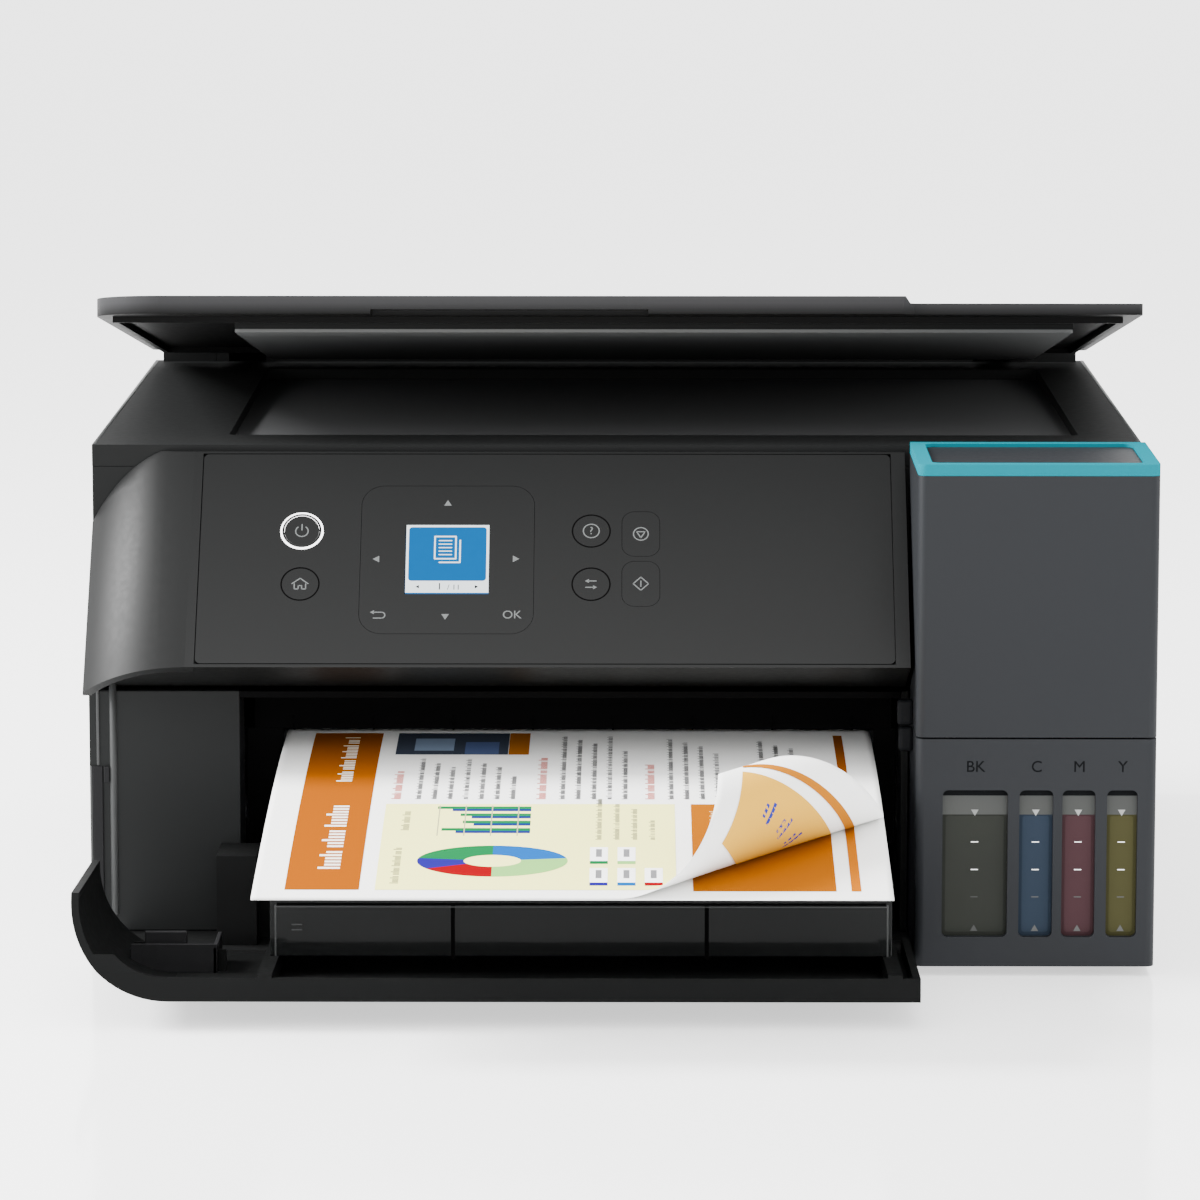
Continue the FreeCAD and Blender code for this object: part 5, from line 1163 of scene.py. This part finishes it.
class PageDrawing(SignPen):
    """Print of the pages, in which every part lies a hair above the one before it."""

    cell: float = 2.0
    layer: float = 0.0006
    ring_lift: float = 0.02
    stroke_width: float = 0.19
    short_stroke: float = 0.28
    tall_stroke: float = 0.5
    letter_step: float = 1.75
    word_step: float = 3.4

    def sheet(self, low: Spot, high: Spot) -> None:
        """Draws a filled rectangle in cells that are small enough to bend."""
        cells = tuple(max(1, round((far - near) / self.cell)) for near, far in zip(low, high))
        self.plate(low, high, cells=cells)

    def area(self, low: Spot, high: Spot, colour: Colour) -> None:
        """Prints one filled area over the earlier ones.

        Args:
            low: Its lower left corner.
            high: Its upper right corner.
            colour: Its colour.
        """
        self.colour = colour
        self.level += self.layer
        self.sheet(low, high)

    def lines(self, first: float, count: int, step: float, span: Spot, colour: Colour,
              tall: float = 2.6) -> None:
        """Prints lines of letter-like strokes, grouped as words, that run along the page.

        Args:
            first: Place of the first line across the page.
            count: Number of lines.
            step: Distance from line to line.
            span: Where the lines start and stop along the page.
            colour: Their colour.
            tall: Height of the tallest strokes.
        """
        self.colour = colour
        self.level += self.layer
        thick = tall * self.stroke_width
        for line in range(count):
            x = first + step * line
            t = span[1]
            stop = span[0] + (6.0 * (line % 3) if line + 1 < count else 24.0)
            stroke = 0
            while t - thick > stop:
                rise = tall * (self.tall_stroke if (line + stroke * 3) % 4 == 0 else self.short_stroke)
                self.plate((x - rise, t - thick), (x + tall * self.short_stroke, t))
                letters = 3 + (line + stroke) % 5
                t -= thick * (self.word_step if stroke % letters == letters - 1 else self.letter_step)
                stroke += 1

    def front(self) -> None:
        """Prints the upper page: a bright band, text, a chart, a ring chart and blocks."""
        orange = (0.24, 0.058, 0.0)
        grey = screen_colour(62, 62, 64)
        red = (0.44, 0.022, 0.0)
        areas = (
            ((-108.5, -76.0), (-84.1, 116.0), orange), ((-78.9, 26.0), (20.0, 116.0), (0.86, 0.84, 0.3)),
            ((-78.5, -76.0), (-38.6, -40.0), screen_colour(52, 58, 70)),
            ((-72.0, -66.0), (-58.0, -46.0), screen_colour(112, 128, 150)),
            ((-54.0, -60.0), (-42.0, -40.5), screen_colour(70, 84, 120)),
            ((-38.4, -76.0), (-31.2, -40.0), (0.3, 0.09, 0.002)),
        )
        for area in areas:
            self.area(*area)
        columns = ((-75.4, -40.0, -68.0, 7, -34.0), (-25.5, -60.0, -18.5, 5, -70.0),
                   (12.0, -50.0, 19.0, 4, -66.0), (44.0, -44.0, 51.0, 4, -62.0))
        for heading, heading_end, first, count, text_end in columns:
            self.lines(heading, 1, 5.0, (heading_end, 20.0), red, 4.2)
            self.lines(first, count, 5.4, (text_end, 20.0), grey)
        self.lines(-94.0, 1, 5.0, (2.0, 96.0), (0.8, 0.78, 0.7), 9.5)
        self.lines(-94.0, 1, 5.0, (-92.0, -2.0), (0.8, 0.74, 0.6), 7.0)
        self.area((25.5, 26.0), (72.5, 116.0), (0.28, 0.08, 0.0))
        self.area((77.4, -72.0), (80.6, 116.0), orange)
        self._charts()
        pale = (0.8, 0.56, 0.3)
        self.lines(33.0, 6, 6.3, (34.0, 108.0), pale)

    def _charts(self) -> None:
        """Prints a bar chart, a ring chart and their keys."""
        green = (0.0, 0.12, 0.035)
        blue = (0.017, 0.01, 0.16)
        for row, length in enumerate((32.0, 24.0, 23.0, 30.0)):
            t = 32.0 + 8.2 * row
            self.area((-29.0 - length, t - 3.0), (-29.0, t), green)
            self.area((-29.0 - length * 0.84, t), (-29.0, t + 2.6), (0.012, 0.02, 0.13))
        for step in range(4):
            x = -60.5 + 9.0 * step
            self.area((x, 28.0), (x + 0.4, 62.0), screen_colour(150, 150, 120))
        self.lines(-71.0, 1, 5.0, (10.0, 56.0), screen_colour(70, 70, 70), 3.6)
        self.lines(-72.5, 1, 5.0, (50.0, 110.0), screen_colour(70, 70, 70), 3.6)
        red = (0.2, 0.0, 0.004)
        sky = (0.0, 0.075, 0.29)
        pale_green = (0.19, 0.42, 0.11)
        slices = ((90.0, 80.0, green), (170.0, 40.0, blue), (210.0, 60.0, red), (270.0, 100.0, pale_green),
                  (10.0, 80.0, sky))
        first = len(self.mesh.verts)
        self.level += self.ring_lift
        for start, sweep, colour in slices:
            self.colour = colour
            self.arc((0.0, 0.0), 17.3, 15.5, start, sweep, 20)
        self.mesh.verts.ensure_lookup_table()
        ring = self.mesh.verts[first:]
        bmesh.ops.scale(self.mesh, verts=ring, vec=(1.0, -0.62, 1.0))
        bmesh.ops.translate(self.mesh, verts=ring, vec=(-41.0, 88.0, 0.0))
        keys = ((-5.6, 76.0, green), (3.6, 76.0, pale_green), (-5.6, 97.0, blue), (3.6, 97.0, sky),
                (12.6, 97.0, red))
        for x, t, colour in keys:
            self.area((x - 3.0, t - 2.0), (x + 3.0, t + 12.0), screen_colour(250, 250, 250))
            self.area((x - 3.0, t + 12.0), (x + 3.0, t + 15.0), colour)
            self.area((x - 1.0, t), (x + 1.0, t + 8.0), screen_colour(110, 110, 112))
        self.lines(-5.6, 4, 6.0, (20.0, 66.0), screen_colour(112, 112, 96))

    def corner(self) -> None:
        """Prints the corner of the lower page that shows under the curl."""
        self.area((25.5, 26.0), (72.5, 116.0), (0.26, 0.072, 0.0))
        self.area((77.4, -72.0), (80.6, 116.0), (0.36, 0.1, 0.0))

    def back(self) -> None:
        """Prints what shows on the back of the curled corner."""
        self.area((77.4, 30.0), (80.6, 116.0), (0.36, 0.12, 0.005))
        self.area((40.0, 60.0), (72.5, 116.0), (0.6, 0.32, 0.03))
        for row in range(3):
            t = 84.0 + 9.0 * row
            self.area((56.0, t), (64.0, t + 1.2), screen_colour(40, 50, 130))
            self.area((57.0, t + 2.6), (62.0, t + 3.8), screen_colour(40, 50, 130))


@dataclass
class PrintedPages:
    """Two printed sheets on their way out, the upper one with a curled corner."""

    left: float = -119.0
    width: float = 210.0
    tail: float = -173.0
    reach: float = 124.0
    exit: float = -80.0
    level: float = 72.4
    drop: float = 19.3
    bend: float = 1.65
    curl_front: Spot = (0.0, 124.0)
    curl_side: Spot = (91.0, 36.0)
    curl_radius: float = 14.5
    thick: float = 0.12
    lower_lift: float = -0.4
    print_lift: float = 0.08
    under_lift: float = -0.3

    def spot(self, x: float, t: float, lift: float, curled: bool) -> Vector:
        """Finds where a point of the page lies.

        Args:
            x: Place across the page in millimetres.
            t: Place along the page towards the front.
            lift: Height above the page.
            curled: Whether the front right corner is curled.

        Returns:
            The point in metres.
        """
        height = lift
        if curled:
            run = (Vector(self.curl_side) - Vector(self.curl_front)).normalized()
            out = Vector((-run.y, run.x))
            offset = Vector((x, t)) - Vector(self.curl_front)
            past = offset.dot(out)
            if past > 0.0:
                angle = past / self.curl_radius
                radius = self.curl_radius - lift
                rolled = Vector(self.curl_front) + run * offset.dot(run) + out * radius * math.sin(angle)
                x, t = rolled
                height = self.curl_radius - radius * math.cos(angle)
        share = max(0.0, (t - self.exit) / (self.reach - self.exit))
        return Vector((x, FRONT - t, self.level - self.drop * share ** self.bend + height)) * MM

    def build(self) -> None:
        """Builds both pages and their print, hides the model's printed sheet and gives each part its own
        mesh.
        """
        parts = [self._page("page_upper", 0.0, True), self._page("page_lower", self.lower_lift, False)]
        parts.append(self._print("print_upper", PageDrawing.front, self.print_lift, True))
        parts.append(self._print("print_lower", PageDrawing.corner, self.under_lift, False, True))
        parts.append(self._print("print_back", PageDrawing.back, self.under_lift, True))
        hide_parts("printed_sheet")
        for part in parts:
            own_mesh(part)

    def _page(self, name: str, lift: float, curled: bool) -> Object:
        """Builds one page.

        Args:
            name: Name of the piece.
            lift: Its height in the pile.
            curled: Whether its corner is curled.

        Returns:
            The page.
        """
        pen = PageDrawing()
        pen.sheet((self.left, self.tail), (self.left + self.width, self.reach))
        mesh = pen.mesh
        for vert in mesh.verts:
            vert.co = self.spot(vert.co.x, vert.co.y, lift, curled)
        bmesh.ops.reverse_faces(mesh, faces=mesh.faces[:])
        page = Bench.piece(name, mesh, PAGE_WHITE, "base", smooth=True)
        thick = page.modifiers.new("thickness", "SOLIDIFY")
        thick.thickness = self.thick * MM
        thick.offset = -1.0
        return page

    def _print(self, name: str, draw: Callable[[PageDrawing], None], lift: float, curled: bool,
               top: bool = False) -> Object:
        """Prints one drawing on a page.

        Args:
            name: Name of the piece.
            draw: Method that draws it.
            lift: Its height above the upper page, below zero for its back.
            curled: Whether it follows the curl.
            top: Whether it faces up although it lies below the upper page.

        Returns:
            The printed piece.
        """
        pen = PageDrawing()
        draw(pen)
        mesh = pen.mesh
        outward = 1.0 if lift >= 0.0 or top else -1.0
        for vert in mesh.verts:
            vert.co = self.spot(vert.co.x, vert.co.y, lift + outward * vert.co.z, curled)
        if outward > 0.0:
            bmesh.ops.reverse_faces(mesh, faces=mesh.faces[:])
        return Bench.piece(name, mesh, PRINT_INK, "base", smooth=True)


@dataclass
class ExitGuide:
    """Dark bar over the paper's way out, with thin star wheels in it and a guide at each side."""

    across: Spot = (-131.0, 99.0)
    along: Spot = (-41.8, -36.0)
    upward: Spot = (73.9, 90.3)
    edge: float = 0.5
    sides: Tuple[Spot, ...] = ((-133.6, -120.4), (92.4, 100.4))
    side_upward: Spot = (32.0, 74.4)
    side_edge: float = 0.4
    wheels: int = 8
    wheel_height: float = 76.8
    wheel_radius: float = 3.6
    wheel_half: float = 0.3
    wheel_corners: int = 18

    def build(self) -> None:
        """Builds the bar and its wheels."""
        bar = BlockPen()
        bar.block(self.across, self.along, self.upward, self.edge)
        for side in self.sides:
            bar.block(side, self.along, self.side_upward, self.side_edge)
        Bench.piece("exit_guide", bar.done(), INNER_BLACK, "base")
        discs = BlockPen()
        step = (self.across[1] - self.across[0]) / self.wheels
        middle = (self.along[0] + self.along[1]) / 2
        for place in range(self.wheels):
            x = self.across[0] + step * (place + 0.5)
            ends = [(side, middle, self.wheel_height) for side in (x - self.wheel_half, x + self.wheel_half)]
            discs.rod(*ends, self.wheel_radius, self.wheel_corners)
        Bench.piece("star_wheels", discs.done(), INNER_BLACK, "base")


@dataclass
class ScannerEdges:
    """Dark strip on the mat's front edge, lighter rods along the scanner's sides as painted highlight and
    its dark hinge backs.
    """

    strip_low: Spot = (-138.5, 1.1)
    strip_high: Spot = (164.5, 4.95)
    strip_lift: float = 0.06
    side: float = 186.7
    side_ends: Spot = (-47.5, 225.0)
    side_radius: float = 0.75
    hinge_back: Box = ((137.5, 162.6), (226.6, 228.1), (177.5, 184.5))
    rail_back: Box = ((162.6, 184.0), (220.6, 226.6), (177.5, 184.5))
    edge: float = 0.3

    def build(self) -> None:
        """Draws the strip, lays a painted highlight rod along each side and closes the view past each lid
        hinge.
        """
        strip = SignPen()
        strip.plate(self.strip_low, self.strip_high)
        strip.lay("mat_strip", MAT_EDGE, self.strip_lift, SCANNER_BLACK, "lid")
        rods = BlockPen()
        backs = BlockPen()
        for way in (-1.0, 1.0):
            ends = [(self.side * way, end, self.rail_back[2][0]) for end in self.side_ends]
            rods.rod(*ends, self.side_radius)
            for across, along, upward in (self.hinge_back, self.rail_back):
                backs.block(sorted(x * way for x in across), along, upward, self.edge)
        # The side rods take the lighter grey as painted highlight on the scanner's edges.
        Bench.piece("scanner_side_highlights", rods.done(), HIGHLIGHT_AND_MARK_GREY, "scanner", smooth=True)
        Bench.piece("hinge_backs", backs.done(), SCANNER_BLACK, "scanner")


@dataclass
class LeftColumn:
    """Bead and lines in a lighter grey as painted highlight, side strips and lug on the front of the left
    column.
    """

    bead: Spot = (-179.0, -72.2)
    bead_upward: Spot = (12.0, 97.0)
    bead_radius: float = 1.35
    low_line: Box = ((-187.3, -186.5), (-73.0, -72.3), (14.0, 65.8))
    high_line: Box = ((-184.9, -183.9), (-73.0, -72.3), (66.2, 97.0))
    line_edge: float = 0.2
    strip: Box = ((-186.4, -182.8), (-73.2, -72.2), (14.0, 65.8))
    lug: Box = ((-182.4, -180.4), (-73.6, -72.2), (60.0, 65.8))
    edge: float = 0.3

    def build(self) -> None:
        """Builds the bead and lines, lighter grey as painted highlight, then the darker strip and lug beside
        them.
        """
        light = BlockPen()
        light.rod(*[(*self.bead, end) for end in self.bead_upward], self.bead_radius)
        for line in (self.low_line, self.high_line):
            light.block(*line, self.line_edge)
        # The bead is real relief; its lighter grey is painted highlight.
        Bench.piece("column_bead_highlight", light.done(), HIGHLIGHT_AND_MARK_GREY, "base", smooth=True)
        dark = BlockPen()
        for part in (self.strip, self.lug):
            dark.block(*part, self.edge)
        Bench.piece("column_strips", dark.done(), RIB_GREY, "base")


@dataclass
class CoverFittings:
    """Low wall and tab inside the folded down cover, at its left end."""

    wall_along: Spot = (-158.5, -157.1)
    wall_top: float = 19.6
    wall_steps: Tuple[Place, ...] = ((-166.0, -162.0, 12.2), (-162.0, -157.0, 10.4), (-157.0, -136.5, 9.2))
    wall_edge: float = 0.05
    end: Box = ((-137.9, -136.5), (-158.5, -132.5), (9.2, 18.6))
    end_edge: float = 0.25
    tab: Box = ((-162.0, -147.4), (-148.5, -146.5), (9.2, 22.0))
    tab_edge: float = 0.5

    def build(self) -> None:
        """Builds the wall, whose foot follows the cover's curve, its end and the tab."""
        pen = BlockPen()
        for left, right, foot in self.wall_steps:
            pen.block((left, right), self.wall_along, (foot, self.wall_top), self.wall_edge)
        pen.block(*self.end, self.end_edge)
        pen.block(*self.tab, self.tab_edge)
        Bench.piece("cover_walls", pen.done(), RIB_GREY, "front_cover")


@dataclass
class TrayMarks:
    """Grooves, painted highlights along the edges and a small outlined mark on the tray's front wall."""

    left: float = -115.6
    right: float = 92.0
    low: float = -2.2
    high: float = 16.2
    grooves: Tuple[float, ...] = (-55.6, 30.9)
    mark: Tuple[Spot, Spot] = ((-112.2, 5.2), (-105.4, 12.2))
    mark_corner: float = 0.8
    mark_line: float = 0.45
    mark_rows: Tuple[float, ...] = (7.8, 9.6)
    mark_inset: float = 1.8
    groove_half: float = 0.7
    lip: float = 0.9
    edge: float = 0.5
    groove_lift: float = 0.05
    highlight_lift: float = 0.06

    def build(self) -> None:
        """Draws the grooves, the painted highlight lines along the edges and the mark."""
        dark = SignPen()
        for x in self.grooves:
            dark.plate((x - self.groove_half, self.low), (x + self.groove_half, self.high))
        dark.plate((self.left, self.high), (self.right, self.high + self.lip))
        dark.lay("tray_grooves", TRAY_FACE, self.groove_lift, SEAM_BLACK, "output_tray")
        pale = SignPen()
        # Painted highlight: pale bars along the side and top edges stand in for light on the tray's edges;
        # the outlined mark and its rows are the tray's own sign.
        for x in (self.left - self.edge, self.right + self.edge):
            pale.bar((x, self.low), (x, self.high), 0.6)
        pale.bar((self.left, self.high - self.edge), (self.right, self.high - self.edge), 0.3)
        low, high = self.mark
        pale.outline(low, high, self.mark_corner, self.mark_line)
        for height in self.mark_rows:
            pale.bar((low[0] + self.mark_inset, height), (high[0] - self.mark_inset, height), self.mark_line)
        pale.lay("tray_highlights_and_mark", TRAY_FACE, self.highlight_lift, HIGHLIGHT_AND_MARK_GREY, "output_tray")


@dataclass
class TankLugs:
    """Two lugs between the tank and the paper's way out."""

    upper: Box = ((98.5, 104.2), (-93.5, -88.5), (84.3, 93.4))
    lower: Box = ((99.0, 104.2), (-93.5, -88.5), (75.0, 83.7))
    edge: float = 1.3

    def build(self) -> None:
        """Builds the upper and the lower lug."""
        pen = BlockPen()
        for lug in (self.upper, self.lower):
            pen.block(*lug, self.edge)
        Bench.piece("tank_lugs", pen.done(), LUG_SLATE, "base")


def ink_windows() -> List[InkWindow]:
    """Lists the tank's windows from left to right."""
    white = (0.28, 0.285, 0.28)
    return [
        InkWindow("black", "BK", 113.3, 136.0, (0.023, 0.0245, 0.0215), paler(white, 0.7)),
        InkWindow("cyan", "C", 140.0, 151.7, (0.02, 0.028, 0.041), white),
        InkWindow("magenta", "M", 154.9, 166.4, (0.043, 0.0225, 0.0255), white),
        InkWindow("yellow", "Y", 170.4, 181.0, (0.043, 0.041, 0.0185), white),
    ]


def main() -> None:
    """Builds every sub-assembly in order."""
    logging.basicConfig(level=logging.INFO)
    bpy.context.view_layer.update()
    Studio().build()
    for group in SOLIDS:
        group.dress()
    KeyPanel().build()
    Screen().build()
    for window in ink_windows():
        window.build()
    for assembly in (PrintedPages, ExitGuide, ScannerEdges, LeftColumn, CoverFittings, TrayMarks, TankLugs):
        assembly().build()


if __name__ == "__main__":
    main()
